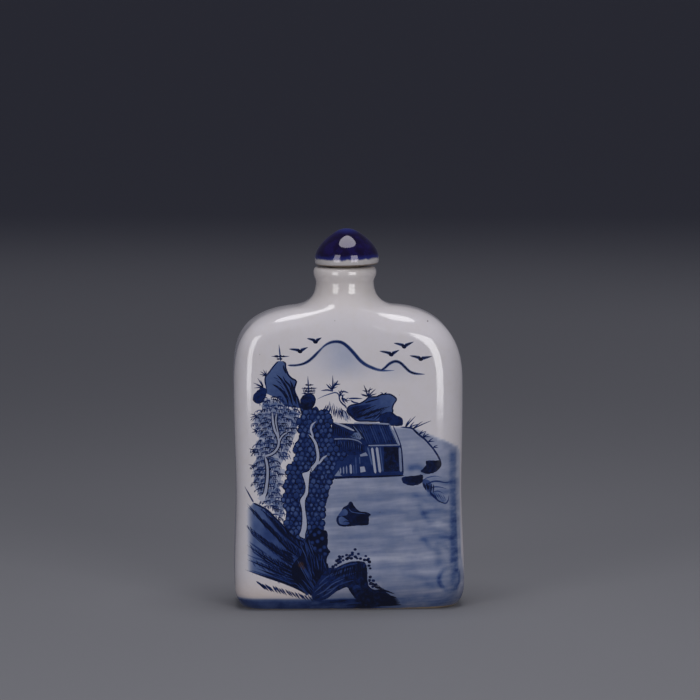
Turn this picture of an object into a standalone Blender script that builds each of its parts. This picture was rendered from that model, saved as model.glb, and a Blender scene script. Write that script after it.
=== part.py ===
"""A flattened porcelain snuff bottle with a domed stopper, in metres, +Z up.

The bottle stands on z = 0 with its broad face towards -Y. Every size below is in millimetres
and becomes metres as the meshes are made. Both pieces are lofted from rings of points: a ring is
a rounded rectangle on the body and turns into a circle on the neck.
"""

import math

import bmesh
import bpy
import numpy as np
from mathutils import Matrix, Vector

MM = 0.001

# Driving sizes of the bottle
BODY_HALF_WIDTH = 24.4  # at its widest, just above the foot
BODY_HALF_DEPTH = 10.0
FACE_CROWN = 0.5  # how far the middle of a broad face stands out
EDGE_RADIUS_LEFT = 4.6  # the upright edges of this hand-finished bottle differ a little
EDGE_RADIUS_RIGHT = 6.0
WALL = 2.4
NECK_RADIUS = 6.2
LIP_RADIUS = 6.66
LIP_TOP = 72.3
BORE_RADIUS = 3.9
BORE_FOOT = 65.0  # where the bore opens into the hollow body
CAVITY_FLOOR = 3.2
FOOT_RIM = 2.2  # width of the flat ring that the bottle stands on
FOOT_RECESS = 0.7
RECESS_SLOPE = 1.6  # width over which the recess rises from the ring
RECESS_BULGE = 0.85  # share of the recess's depth reached half way up that slope
RECESS_EDGE_RADIUS = 1.5
FOOT_TUCK = 0.9  # the broad faces draw in at the foot by this share of what the narrow sides do

# Its small irregularities
BODY_LEAN = -0.36  # sideways drift of the centre line, foot to shoulder
NECK_SHIFT = -0.53  # further drift of the neck
SHOULDER_FOOT, NECK_FOOT = 50.0, 64.0  # heights between which the second drift happens
SHOULDER_LIFT = 0.3  # the right shoulder stands this much higher
LIFT_X, LIFT_SPREAD = 15.0, 5.0  # where that rise is greatest, and how far it spreads

# Driving sizes of the stopper
STOPPER_FOOT = 72.6
STOPPER_TOP = 80.0
STOPPER_RADIUS = 6.74
PLUG_RADIUS = 3.2
PLUG_LENGTH = 4.2
PLUG_SHIFT = -0.4  # the plug hangs in the middle of the bore, a little left of the dome's axis
STOPPER_X = -0.45
STOPPER_TILT = math.radians(1.2)

# Ring resolution
OUTER_ROWS, INNER_ROWS, BORE_ROWS, STOPPER_ROWS = 6, 5, 4, 5  # rings along each curve
QUARTER_SIDE, QUARTER_CORNER, QUARTER_FACE = 1, 7, 6
SIDE_SHARE, CORNER_SHARE = 0.13, 0.40  # shares of a quarter's length where its side and corner end
STOPPER_SIDES = 48
QUARTER_STEPS = 160  # steps along a quarter ring before it is thinned out
RING_GAP = 0.02  # rings closer together than this are one ring
SHARP_ANGLE = math.radians(35)

# Half of the front outline as Bezier curves of (half width, height), foot to lip
FOOT_CURVE = ((22.4, 0.0), (23.5, 0.6), (24.52, 2.9), (BODY_HALF_WIDTH, 5.1))
WAIST_CURVE = ((BODY_HALF_WIDTH, 5.1), (23.45, 18.0), (23.95, 34.0), (24.25, 48.0))
SHOULDER_CURVE = ((24.25, 48.0), (24.25, 57.4), (21.3, 62.6), (10.5, 63.87))
NECK_CURVE = ((10.5, 63.87), (8.3, 64.12), (NECK_RADIUS, 64.7), (NECK_RADIUS, 68.3))
LIP_CURVE = ((NECK_RADIUS, 68.3), (NECK_RADIUS, 69.4), (LIP_RADIUS, 69.4), (LIP_RADIUS, 70.7))
LIP_ROUND = ((LIP_RADIUS, 70.7), (LIP_RADIUS, 71.8), (6.3, LIP_TOP), (5.4, LIP_TOP))
OUTLINE = (FOOT_CURVE, WAIST_CURVE, SHOULDER_CURVE, NECK_CURVE, LIP_CURVE, LIP_ROUND)

# Half of the side outline: (half depth, height) where the broad face runs into the neck
FACE_TO_NECK = ((BODY_HALF_DEPTH, 48.0), (BODY_HALF_DEPTH, 62.5), (NECK_RADIUS, 65.5), (NECK_RADIUS, 68.3))

# The hollow, from the bore down to the floor
BORE_CURVE = ((4.9, LIP_TOP), (4.0, LIP_TOP), (BORE_RADIUS, 71.6), (BORE_RADIUS, 70.6))
CAVITY_THROAT = ((BORE_RADIUS, BORE_FOOT), (BORE_RADIUS, 62.4), (5.6, 61.0), (9.6, 60.4))
CAVITY_SHOULDER = ((9.6, 60.4), (18.9, 59.4), (21.85, 55.6), (21.85, 48.0))
CAVITY_FOOT = ((21.9, 8.0), (21.9, 4.6), (20.6, CAVITY_FLOOR), (18.0, CAVITY_FLOOR))
CAVITY_DEPTH = BODY_HALF_DEPTH - WALL
CAVITY_EDGE_RADIUS = 3.2
CAVITY_TUCK = 0.6  # as FOOT_TUCK, for the hollow's floor
CEILING_DROP = 0.6 * WALL  # how far below the outside's curve the hollow's ceiling follows it
THROAT_SLACK = 0.2  # how much deeper than the ceiling's curve the round throat may be
CAVITY_ROUNDING = (58.8, 62.4)  # heights over which the hollow's plan turns from oblong to circle
BODY_ROUNDING = (61.5, 66.5)  # the same for the outside
EDGE_FOLLOWS = (48.0, 52.0)  # heights over which the rounded edge starts to follow the shoulder's curve
EDGE_LEAVES = (64.5, 67.5)  # and stops following it

# Half of the stopper's profile as (radius, height above its foot)
PLUG_ROUND = 0.8  # size of the rounding at its lower end
PLUG_CURVE = (
    (PLUG_RADIUS - PLUG_ROUND, -PLUG_LENGTH),
    (PLUG_RADIUS, -PLUG_LENGTH),
    (PLUG_RADIUS, PLUG_ROUND - PLUG_LENGTH),
    (PLUG_RADIUS, 2 * PLUG_ROUND - PLUG_LENGTH),
)
STOPPER_RIM_HEIGHT = 1.7
STOPPER_RISE = STOPPER_TOP - STOPPER_FOOT
RIM_CURVE = ((6.3, 0.0), (6.75, 0.0), (6.85, 0.9), (STOPPER_RADIUS, STOPPER_RIM_HEIGHT))
DOME_CURVE = ((STOPPER_RADIUS, STOPPER_RIM_HEIGHT), (6.62, 3.4), (4.75, 5.35), (2.6, 6.45))
APEX_CURVE = ((2.6, 6.45), (1.6, 6.96), (0.75, STOPPER_RISE), (0.0, STOPPER_RISE))


def bezier(points, steps):
    """steps + 1 points along a cubic Bezier curve."""
    a, b, c, d = (np.array(point, float) for point in points)
    t = np.linspace(0.0, 1.0, steps + 1)[:, None]
    return (1 - t) ** 3 * a + 3 * (1 - t) ** 2 * t * b + 3 * (1 - t) * t**2 * c + t**3 * d


def chain(curves, steps):
    """The curves end to end, each joint counted once."""
    runs = [bezier(curve, steps) for curve in curves]
    return np.vstack([runs[0]] + [run[1:] for run in runs[1:]])


def smoothstep(value, low, high):
    t = np.clip((value - low) / (high - low), 0.0, 1.0)
    return t * t * (3 - 2 * t)


FINE_OUTLINE = chain((SHOULDER_CURVE, NECK_CURVE), 60)
FINE_FACE = bezier(FACE_TO_NECK, 80)


def inset(x, half_width, height):
    """How far inside the front outline points at one height lie, on the half where x >= 0.

    Beside the upright sides, foot and lip that is the way out sideways. Under the shoulder's curve
    it is the nearest way out, so that the rounded edge follows the outline over the shoulder.
    """
    sideways = half_width - x
    curved = float(smoothstep(height, *EDGE_FOLLOWS) * (1 - smoothstep(height, *EDGE_LEAVES)))
    if curved == 0.0:
        return sideways
    start, end = FINE_OUTLINE[:-1], FINE_OUTLINE[1:]
    along = end - start
    away = np.column_stack([x, np.full(len(x), height)])[:, None, :] - start[None]
    share = np.clip((away * along).sum(2) / (along**2).sum(1), 0.0, 1.0)
    nearest = np.sqrt(((away - share[..., None] * along) ** 2).sum(2)).min(1)
    return curved * np.minimum(nearest, sideways) + (1 - curved) * sideways


def face_depth(height, half_width):
    """Half depth of the body at x = 0: a round foot, a flat face, then a run into the neck."""
    if height < FOOT_CURVE[3][1]:
        return BODY_HALF_DEPTH - FOOT_TUCK * (BODY_HALF_WIDTH - half_width)
    if height < FACE_TO_NECK[3][1]:
        return float(np.interp(height, FINE_FACE[:, 1], FINE_FACE[:, 0], left=BODY_HALF_DEPTH))
    return half_width


def resample(curve, shares):
    """Points at the given shares of a curve's length."""
    run = np.concatenate([[0.0], np.cumsum(np.hypot(*np.diff(curve, axis=0).T))])
    wanted = np.asarray(shares) * run[-1]
    return np.column_stack([np.interp(wanted, run, curve[:, 0]), np.interp(wanted, run, curve[:, 1])])


def quarter_shares(roundness):
    """Where a quarter ring's points sit: close on the edge of the body, even on the neck."""
    side = np.linspace(0.0, SIDE_SHARE, QUARTER_SIDE + 1)[:-1]
    corner = np.linspace(SIDE_SHARE, CORNER_SHARE, QUARTER_CORNER + 1)[:-1]
    face = np.linspace(CORNER_SHARE, 1.0, QUARTER_FACE + 1)
    body = np.concatenate([side, corner, face])
    even = np.linspace(0.0, 1.0, len(body))
    return (1 - roundness) * body + roundness * even


def quarter(half_width, half_depth, radius, flat_side, crown, spacing, inset_at):
    """From the side's middle to the face's middle: (x, y) with both positive.

    The side is flat up to flat_side, the edge is rounded to radius, and the face is crowned.
    """
    x = half_width * np.cos(np.linspace(0.0, math.pi / 2, QUARTER_STEPS))
    rise = np.clip(inset_at(x) / radius, 0.0, 1.0)
    lift = np.sqrt(1 - (1 - rise) ** 2)
    depth = half_depth - crown * (x / half_width) ** 2
    curve = np.column_stack([x, flat_side + (depth - flat_side) * lift])
    curve = np.vstack([[half_width, 0.0], curve]) if flat_side > 0 else curve
    return resample(curve, spacing)


def whole_ring(right, left, height):
    """A ring anticlockwise from +X, out of a right and a left quarter, alike at front and back."""
    back_right = right
    back_left = left[::-1][1:] * (-1, 1)
    front_left = left[1:] * (-1, -1)
    front_right = right[::-1][1:-1] * (1, -1)
    flat = np.vstack([back_right, back_left, front_left, front_right])
    return np.column_stack([flat, np.full(len(flat), height)])


def outer_ring(half_width, height):
    """One ring of the outside, at a point of the front outline."""
    roundness = float(smoothstep(height, *BODY_ROUNDING))
    half_depth = face_depth(height, half_width)
    spacing = quarter_shares(roundness)
    halves = []
    for edge in (EDGE_RADIUS_RIGHT, EDGE_RADIUS_LEFT):
        radius = (1 - roundness) * edge + roundness * half_width
        flat_side = max((1 - roundness) * (half_depth - edge), 0.0)
        halves.append(
            quarter(
                half_width,
                half_depth,
                radius,
                flat_side,
                FACE_CROWN * (1 - roundness),
                spacing,
                lambda x: inset(x, half_width, height),
            )
        )
    return whole_ring(halves[0], halves[1], height)


def inner_ring(half_width, height):
    """One ring of the hollow: the same form, a wall's thickness smaller."""
    roundness = float(smoothstep(height, *CAVITY_ROUNDING))
    if height < CAVITY_FOOT[0][1]:
        depth = CAVITY_DEPTH - CAVITY_TUCK * (CAVITY_FOOT[0][0] - half_width)
    else:
        depth = float(np.interp(height + CEILING_DROP, FINE_FACE[:, 1], FINE_FACE[:, 0])) - WALL
    half_depth = (1 - roundness) * depth + roundness * min(half_width, depth + THROAT_SLACK)
    radius = (1 - roundness) * CAVITY_EDGE_RADIUS + roundness * half_width
    flat_side = max((1 - roundness) * (half_depth - CAVITY_EDGE_RADIUS), 0.0)
    side = quarter(
        half_width,
        half_depth,
        radius,
        flat_side,
        FACE_CROWN * (1 - roundness),
        quarter_shares(roundness),
        lambda x: half_width - x,
    )
    return whole_ring(side, side, height)


def settle(ring):
    """The centre line's drift and the higher right shoulder, kept off the foot."""
    x, y, z = ring.T
    drift = BODY_LEAN * np.clip(z / SHOULDER_FOOT, 0.0, 1.0)
    drift += NECK_SHIFT * smoothstep(z, SHOULDER_FOOT, NECK_FOOT)
    lift = SHOULDER_LIFT * np.exp(-(((x - LIFT_X) / LIFT_SPREAD) ** 2))
    lift *= smoothstep(z, SHOULDER_FOOT, NECK_FOOT)
    return np.column_stack([x + drift, y, z + lift])


def loft(name, rings, material):
    """A closed object through rings of equal length, with a flat face across each end."""
    mesh = bpy.data.meshes.new(name)
    form = bmesh.new()
    loops = [[form.verts.new(Vector(point) * MM) for point in ring] for ring in rings]
    for lower, upper in zip(loops, loops[1:]):
        for i in range(len(lower)):
            j = (i + 1) % len(lower)
            form.faces.new((lower[i], lower[j], upper[j], upper[i]))
    form.faces.new(loops[0][::-1])
    form.faces.new(loops[-1])
    bmesh.ops.recalc_face_normals(form, faces=form.faces)
    form.to_mesh(mesh)
    form.free()
    mesh.shade_smooth()
    mesh.set_sharp_from_angle(angle=SHARP_ANGLE)
    mesh.materials.append(material)
    piece = bpy.data.objects.new(name, mesh)
    bpy.context.scene.collection.objects.link(piece)
    return piece


def glaze(name, colour, roughness):
    material = bpy.data.materials.new(name)
    material.use_nodes = True
    shader = material.node_tree.nodes["Principled BSDF"]
    shader.inputs["Base Color"].default_value = (*colour, 1.0)
    shader.inputs["Roughness"].default_value = roughness
    shader.inputs["Coat Weight"].default_value = 0.6
    shader.inputs["Coat Roughness"].default_value = 0.04
    return material


def bottle():
    """One hollow solid: recessed foot, body, shoulders, neck and rolled lip, then the hollow."""
    foot_width, foot_depth = FOOT_CURVE[0][0], face_depth(0.0, FOOT_CURVE[0][0])

    def foot_ring(shrink, height):
        edge = max(EDGE_RADIUS_RIGHT - shrink, RECESS_EDGE_RADIUS)
        width, depth = foot_width - shrink, foot_depth - shrink
        spacing = quarter_shares(0.0)
        side = quarter(width, depth, edge, depth - edge, FACE_CROWN, spacing, lambda x: width - x)
        return whole_ring(side, side, height)

    rings = [
        foot_ring(FOOT_RIM + RECESS_SLOPE, FOOT_RECESS),
        foot_ring(FOOT_RIM + RECESS_SLOPE / 2, RECESS_BULGE * FOOT_RECESS),
        foot_ring(FOOT_RIM, 0.0),
    ]
    rings += [outer_ring(width, height) for width, height in chain(OUTLINE, OUTER_ROWS)]
    rings += [inner_ring(width, height) for width, height in bezier(BORE_CURVE, BORE_ROWS)]
    hollow = (CAVITY_THROAT, CAVITY_SHOULDER, CAVITY_FOOT)
    for curve in hollow:
        rings += [inner_ring(width, height) for width, height in bezier(curve, INNER_ROWS)]
    distinct = [rings[0]]
    for ring in rings[1:]:
        if np.abs(ring - distinct[-1]).max() > RING_GAP:
            distinct.append(ring)
    return loft("bottle", [settle(ring) for ring in distinct], glaze("porcelain", (0.66, 0.66, 0.70), 0.12))


def turned(profile, centre_x=0.0):
    """Rings of a turned form, anticlockwise, from (radius, height) points."""
    angle = np.arange(STOPPER_SIDES) * 2 * math.pi / STOPPER_SIDES
    across, along = np.cos(angle), np.sin(angle)
    return [
        np.column_stack([centre_x + radius * across, radius * along, np.full(len(angle), height)])
        for radius, height in profile
    ]


def stopper():
    """One solid: the glazed dome on its rim, with a short plug that drops into the neck."""
    plug = list(bezier(PLUG_CURVE, 3)) + [(PLUG_RADIUS, 0.0)]
    dome = chain((RIM_CURVE, DOME_CURVE, APEX_CURVE), STOPPER_ROWS)[:-1]
    rings = turned(plug, PLUG_SHIFT) + turned(dome)
    piece = loft("stopper", rings, glaze("cobalt", (0.02, 0.015, 0.12), 0.1))
    seat = Vector((STOPPER_X, 0.0, STOPPER_FOOT)) * MM
    # The stopper leans on the left of the lip, so its right side stands a hair higher.
    lean = Matrix.Rotation(-STOPPER_TILT, 4, "Y")
    raise_by = Vector((0.0, 0.0, STOPPER_RADIUS * math.sin(STOPPER_TILT))) * MM
    piece.matrix_world = Matrix.Translation(seat + raise_by) @ lean
    return piece


for old in list(bpy.data.objects):
    bpy.data.objects.remove(old, do_unlink=True)

bottle()
stopper()
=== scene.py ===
"""The looks of a blue-and-white porcelain snuff bottle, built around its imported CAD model.

The bottle is one closed mesh. Its broad faces are cut along every brush stroke of the painting,
so that the painting stays sharp at any distance, and its washes are densities kept per vertex.
Sizes are in millimetres in the CAD model's own frame and become metres as the meshes are made.
"""

import math

import bpy
import numpy as np
from mathutils import Matrix, Vector
from mathutils.geometry import delaunay_2d_cdt


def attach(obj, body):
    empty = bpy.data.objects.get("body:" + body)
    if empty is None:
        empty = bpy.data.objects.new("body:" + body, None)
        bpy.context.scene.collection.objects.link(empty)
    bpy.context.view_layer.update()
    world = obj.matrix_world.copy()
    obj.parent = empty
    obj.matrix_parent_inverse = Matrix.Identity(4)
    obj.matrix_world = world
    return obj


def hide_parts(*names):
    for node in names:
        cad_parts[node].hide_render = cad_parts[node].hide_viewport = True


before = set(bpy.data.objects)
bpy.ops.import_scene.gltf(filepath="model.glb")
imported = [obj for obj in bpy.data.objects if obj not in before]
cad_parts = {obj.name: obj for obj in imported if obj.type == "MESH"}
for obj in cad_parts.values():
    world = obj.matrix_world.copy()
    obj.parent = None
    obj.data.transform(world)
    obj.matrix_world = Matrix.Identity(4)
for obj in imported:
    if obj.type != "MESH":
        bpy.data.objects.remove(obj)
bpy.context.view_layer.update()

MM = 0.001

# ---------------------------------------------------------------- sizes, as the CAD model has them
BODY_HALF_WIDTH = 24.4
BODY_HALF_DEPTH = 10.0
FACE_CROWN = 0.5
TIGHTER_LEFT, TIGHTER_RIGHT = 0.15, 0.05  # how much tighter the face rolls into the shoulders than into the sides
EDGE_RADIUS_LEFT = 4.6
EDGE_RADIUS_RIGHT = 6.0
WALL = 2.4
NECK_RADIUS = 6.14
LIP_RADIUS = 6.66
LIP_TOP = 72.3
BORE_RADIUS = 3.9
BORE_FOOT = 65.0
CAVITY_FLOOR = 3.2
FOOT_RIM = 2.2
FOOT_RECESS = 0.7
RECESS_SLOPE = 1.6
RECESS_EDGE_RADIUS = 1.5
FOOT_TUCK = 0.9
BODY_LEAN = -0.36
NECK_SHIFT = -0.53
SHOULDER_FOOT, NECK_FOOT = 50.0, 64.0
SHOULDER_LIFT = 0.3
LIFT_X, LIFT_SPREAD = 15.0, 7.0

FOOT_CURVE = ((22.4, 0.0), (23.5, 0.6), (24.52, 2.9), (BODY_HALF_WIDTH, 5.1))
WAIST_CURVE = ((BODY_HALF_WIDTH, 5.1), (24.6, 10.5), (23.92, 19.0), (23.92, 25.0))
FLANK_CURVE = ((23.92, 25.0), (23.92, 31.0), (24.25, 36.0), (24.25, 48.0))
SHOULDER_CURVE = ((24.25, 48.0), (24.25, 57.4), (21.3, 62.6), (10.5, 63.87))
NECK_CURVE = ((10.5, 63.87), (8.4, 64.15), (NECK_RADIUS, 65.6), (NECK_RADIUS, 69.0))
LIP_CURVE = ((NECK_RADIUS, 69.0), (NECK_RADIUS, 69.8), (LIP_RADIUS, 70.0), (LIP_RADIUS, 71.1))
LIP_ROUND = ((LIP_RADIUS, 71.1), (LIP_RADIUS, 71.9), (6.3, LIP_TOP), (5.4, LIP_TOP))
FACE_TO_NECK = ((BODY_HALF_DEPTH, 54.0), (BODY_HALF_DEPTH, 66.4), (NECK_RADIUS, 63.8), (NECK_RADIUS, 69.0))
BORE_CURVE = ((4.9, LIP_TOP), (4.0, LIP_TOP), (BORE_RADIUS, 71.6), (BORE_RADIUS, 70.6))
CAVITY_THROAT = ((BORE_RADIUS, BORE_FOOT), (BORE_RADIUS, 62.4), (5.6, 61.0), (9.6, 60.4))
CAVITY_SHOULDER = ((9.6, 60.4), (18.9, 59.4), (21.85, 55.6), (21.85, 48.0))
CAVITY_FOOT = ((21.9, 8.0), (21.9, 4.6), (20.6, CAVITY_FLOOR), (18.0, CAVITY_FLOOR))
CAVITY_DEPTH = BODY_HALF_DEPTH - WALL
CAVITY_EDGE_RADIUS = 3.2
CAVITY_TUCK = 0.6
CEILING_DROP = 0.6 * WALL
THROAT_SLACK = 0.2
CAVITY_ROUNDING = (58.8, 62.4)
BODY_ROUNDING = (63.0, 67.0)
EDGE_TIGHTENS = (50.0, 59.0)
EDGE_FOLLOWS, EDGE_LEAVES = (48.0, 52.0), (64.5, 67.5)

STOPPER_FOOT = 72.6
STOPPER_RISE = 7.6
STOPPER_RADIUS = 6.74
PLUG_RADIUS = 3.2
PLUG_LENGTH = 4.2
PLUG_SHIFT = -0.4
PLUG_ROUND = 0.8
STOPPER_X = -0.45
STOPPER_TILT = math.radians(1.2)
RIM_HEIGHT = 1.7
PLUG_CURVE = (
    (PLUG_RADIUS - PLUG_ROUND, -PLUG_LENGTH),
    (PLUG_RADIUS, -PLUG_LENGTH),
    (PLUG_RADIUS, PLUG_ROUND - PLUG_LENGTH),
    (PLUG_RADIUS, 2 * PLUG_ROUND - PLUG_LENGTH),
)
RIM_CURVE = ((6.3, 0.0), (6.75, 0.0), (6.85, 0.9), (STOPPER_RADIUS, RIM_HEIGHT))
DOME_CURVE = ((STOPPER_RADIUS, RIM_HEIGHT), (6.62, 3.4), (4.75, 5.45), (2.7, 6.72))
APEX_CURVE = ((2.7, 6.72), (1.9, 7.22), (1.1, STOPPER_RISE), (0.0, STOPPER_RISE))

# ---------------------------------------------------------------- the mesh's own sizes
FACE_SHARE = 0.93  # each painted patch covers this share of the half width on both sides
PATCH_LOW, PATCH_HIGH = 0.3, 59.5  # and these heights
CURVE_STEPS, SPLINE_STEPS = 60, 10
FACE_COLUMNS = 90
SIDE_COLUMNS = 28
CORNER_STEPS = 40  # from a patch's edge round to the side's middle, before the columns are spaced evenly
ROW_STEP, SHOULDER_STEP, LIP_STEP, INNER_STEP = 0.7, 0.48, 0.3, 2.6
GRAIN_FRONT, GRAIN_BACK = 0.49, 0.72  # spacing of a patch's loose points
CROWDING = 0.14  # a loose point in the same cell of this size as a cut line's point is left out
EDGE_MARGIN = 0.03  # brush work keeps this far inside its patch
LEAST_AREA = 0.002  # shapes smaller than this are left out
SPILL_RATIO, SPILL_SLACK = 1.3, 0.05  # a shape found to cover more than this of its own area has run out
MERGE = 0.004  # points of the cut face closer than this become one
RECESS_RINGS, REST_RINGS = 7, 6
RECESS_POWER = 2.74  # how steeply the foot's recess rises from its ring
FLOOR_SHARES = (0.0, 0.12, 0.3, 0.5, 0.7, 0.86)  # rings that close the recess and the hollow's floor
HALF_AROUND = 64.0  # from the middle of the front round to the middle of the back
STOPPER_SIDES = 128
STOPPER_STEP = 0.13
MAP_MARGIN = 0.01
EASING = 60  # how often the shoulders' shading is evened out
EASED_FROM, EASED_TO = (60.0, 61.5), (67.0, 69.0)


# ================================================================ curves and arithmetic


def bezier(points):
    """Points along a cubic Bezier curve."""
    a, b, c, d = (np.array(point, float) for point in points)
    t = np.linspace(0.0, 1.0, CURVE_STEPS + 1)[:, None]
    return (1 - t) ** 3 * a + 3 * (1 - t) ** 2 * t * b + 3 * (1 - t) * t**2 * c + t**3 * d


def chain(*curves):
    """The curves end to end, each joint counted once."""
    runs = [bezier(curve) for curve in curves]
    return np.vstack([runs[0]] + [run[1:] for run in runs[1:]])


def pairs(numbers):
    """Places, each (across, height), from numbers in a row or from places."""
    return np.array(numbers, float).reshape(-1, 2)


def smoothstep(value, low, high):
    t = np.clip((value - low) / (high - low), 0.0, 1.0)
    return t * t * (3 - 2 * t)


def length_along(curve):
    return np.concatenate([[0.0], np.cumsum(np.linalg.norm(np.diff(curve, axis=0), axis=1))])


def respace(curve, step=None, count=None):
    """Evenly spaced points along a curve, about step apart, or count steps of them."""
    run = length_along(curve)
    count = count or max(1, round(run[-1] / step))
    wanted = np.linspace(0.0, run[-1], count + 1)
    return np.column_stack([np.interp(wanted, run, column) for column in curve.T])


# ================================================================ the bottle's surface

SIDE_LINE = chain(FOOT_CURVE, WAIST_CURVE, FLANK_CURVE, SHOULDER_CURVE)
SHOULDER_LINE = chain(SHOULDER_CURVE, NECK_CURVE)
FACE_LINE = bezier(FACE_TO_NECK)


def half_width_at(height):
    return np.interp(height, SIDE_LINE[:, 1], SIDE_LINE[:, 0])


def face_depth(height, half_width):
    """Half depth at x = 0: a tucked foot, a flat face, then a run into the round neck."""
    face = np.interp(height, FACE_LINE[:, 1], FACE_LINE[:, 0])
    foot = BODY_HALF_DEPTH - FOOT_TUCK * (BODY_HALF_WIDTH - half_width)
    depth = np.where(height < FOOT_CURVE[3][1], foot, face)
    return np.where(height < FACE_TO_NECK[3][1], depth, half_width)


def distance_to(path, points):
    """How far points lie from the nearest place on a path."""
    start, along = path[:-1], np.diff(path, axis=0)
    result = [np.zeros(0)]
    for some in np.array_split(points, 1 + len(points) // 4000):
        away = some[:, None, :] - start
        share = np.clip((away * along).sum(2) / (along**2).sum(1), 0.0, 1.0)
        result.append(np.sqrt(((away - share[..., None] * along) ** 2).sum(2)).min(1))
    return np.concatenate(result)


def inset(x, half_width, height):
    """How far inside the front outline points lie, where x >= 0 is the distance from the middle."""
    sideways = half_width - x
    curved = smoothstep(height, *EDGE_FOLLOWS) * (1 - smoothstep(height, *EDGE_LEAVES))
    result = np.array(sideways, float)
    near = curved > 0
    nearest = np.minimum(distance_to(SHOULDER_LINE, np.column_stack([x[near], height[near]])), sideways[near])
    result[near] = curved[near] * nearest + (1 - curved[near]) * sideways[near]
    return result


def skin(x, height, half_width):
    """How far the outside stands from the middle plane, before the bottle's irregularities."""
    x, height, half_width = np.broadcast_arrays(*(np.asarray(v, float) for v in (x, height, half_width)))
    roundness = smoothstep(height, *BODY_ROUNDING)
    depth = face_depth(height, half_width)
    upper = smoothstep(height, *EDGE_TIGHTENS)
    left, right = EDGE_RADIUS_LEFT * (1 - TIGHTER_LEFT * upper), EDGE_RADIUS_RIGHT * (1 - TIGHTER_RIGHT * upper)
    edge = np.where(x > 0, right, left)
    radius = (1 - roundness) * edge + roundness * half_width
    flat_side = np.maximum((1 - roundness) * (depth - edge), 0.0)
    rise = np.clip(inset(np.abs(x), half_width, height) / radius, 0.0, 1.0)
    crowned = depth - FACE_CROWN * (1 - roundness) * (x / half_width) ** 2
    return flat_side + (crowned - flat_side) * np.sqrt(1 - (1 - rise) ** 2)


def settle(points):
    """The centre line's drift and the higher right shoulder, which grow away from the foot."""
    x, y, z = points.T
    drift = BODY_LEAN * np.clip(z / SHOULDER_FOOT, 0.0, 1.0)
    drift += NECK_SHIFT * smoothstep(z, SHOULDER_FOOT, NECK_FOOT)
    lift = SHOULDER_LIFT * np.exp(-(((x - LIFT_X) / LIFT_SPREAD) ** 2))
    lift *= smoothstep(z, SHOULDER_FOOT, NECK_FOOT)
    return np.column_stack([x + drift, y, z + lift])


def on_face(flat, side):
    """Points (across, height) of a broad face, as one sees it, as points in space.

    side is -1 for the front, and 1 for the back, where what is seen on the right has a negative x.
    """
    x, z = -side * flat[:, 0], flat[:, 1]
    return settle(np.column_stack([x, side * skin(x, z, half_width_at(z)), z]))


def face_normals(flat, side, reach=0.02):
    """Unit normals of a broad face, from small steps along it."""
    across = on_face(flat + (reach, 0), side) - on_face(flat - (reach, 0), side)
    up = on_face(flat + (0, reach), side) - on_face(flat - (0, reach), side)
    normal = np.cross(across, up)
    return normal / np.linalg.norm(normal, axis=1)[:, None]


def ring(half_width, skin_at):
    """A closed ring: the front's columns from left to right, the right side, the back, the left side."""
    face = half_width * np.linspace(-FACE_SHARE, FACE_SHARE, FACE_COLUMNS + 1)
    front = np.column_stack([face, -skin_at(face)])
    angle = np.linspace(math.acos(FACE_SHARE), 0.0, CORNER_STEPS)
    sides = []
    for sign in (1, -1):
        x = sign * half_width * np.cos(angle)
        corner = np.column_stack([x, -skin_at(x)])
        around = np.vstack([corner, corner[::-1] * (1, -1)])
        sides.append(respace(around, count=SIDE_COLUMNS))
    right, left = sides[0], sides[1][::-1]
    back = front[::-1] * (1, -1)
    return np.vstack([front, right[1:-1], back, left[1:-1]])


def outer_ring(half_width, height):
    flat = ring(half_width, lambda x: skin(x, height, half_width))
    return np.column_stack([flat, np.full(len(flat), height)])


def rounded_ring(half_width, half_depth, radius, flat_side, crown, height):
    """A ring of a plain rounded oblong, for the foot and the hollow."""

    def skin_at(x):
        rise = np.clip((half_width - np.abs(x)) / radius, 0.0, 1.0)
        depth = half_depth - crown * (x / half_width) ** 2
        return flat_side + (depth - flat_side) * np.sqrt(1 - (1 - rise) ** 2)

    flat = ring(half_width, skin_at)
    return np.column_stack([flat, np.full(len(flat), height)])


def inner_ring(half_width, height):
    """One ring of the hollow: the outside's form, a wall's thickness smaller."""
    roundness = float(smoothstep(height, *CAVITY_ROUNDING))
    if height < CAVITY_FOOT[0][1]:
        depth = CAVITY_DEPTH - CAVITY_TUCK * (CAVITY_FOOT[0][0] - half_width)
    else:
        depth = float(np.interp(height + CEILING_DROP, FACE_LINE[:, 1], FACE_LINE[:, 0])) - WALL
    half_depth = (1 - roundness) * depth + roundness * min(half_width, depth + THROAT_SLACK)
    radius = (1 - roundness) * CAVITY_EDGE_RADIUS + roundness * half_width
    flat_side = max((1 - roundness) * (half_depth - CAVITY_EDGE_RADIUS), 0.0)
    return rounded_ring(half_width, half_depth, radius, flat_side, FACE_CROWN * (1 - roundness), height)


def foot_ring(shrink, height):
    """One ring of the underside, drawn in from the edge of the foot."""
    width = FOOT_CURVE[0][0] - shrink
    depth = float(face_depth(0.0, FOOT_CURVE[0][0])) - shrink
    edge = max(EDGE_RADIUS_RIGHT - shrink, RECESS_EDGE_RADIUS)
    return rounded_ring(width, depth, edge, depth - edge, FACE_CROWN, height)


def cut(curve, low, high):
    """The stretch of a rising curve between two heights."""
    ends = [(np.interp(height, curve[:, 1], curve[:, 0]), height) for height in (low, high)]
    between = curve[(curve[:, 1] > low) & (curve[:, 1] < high)]
    return np.vstack([ends[:1], between, ends[1:]])


# ================================================================ brush work


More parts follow.
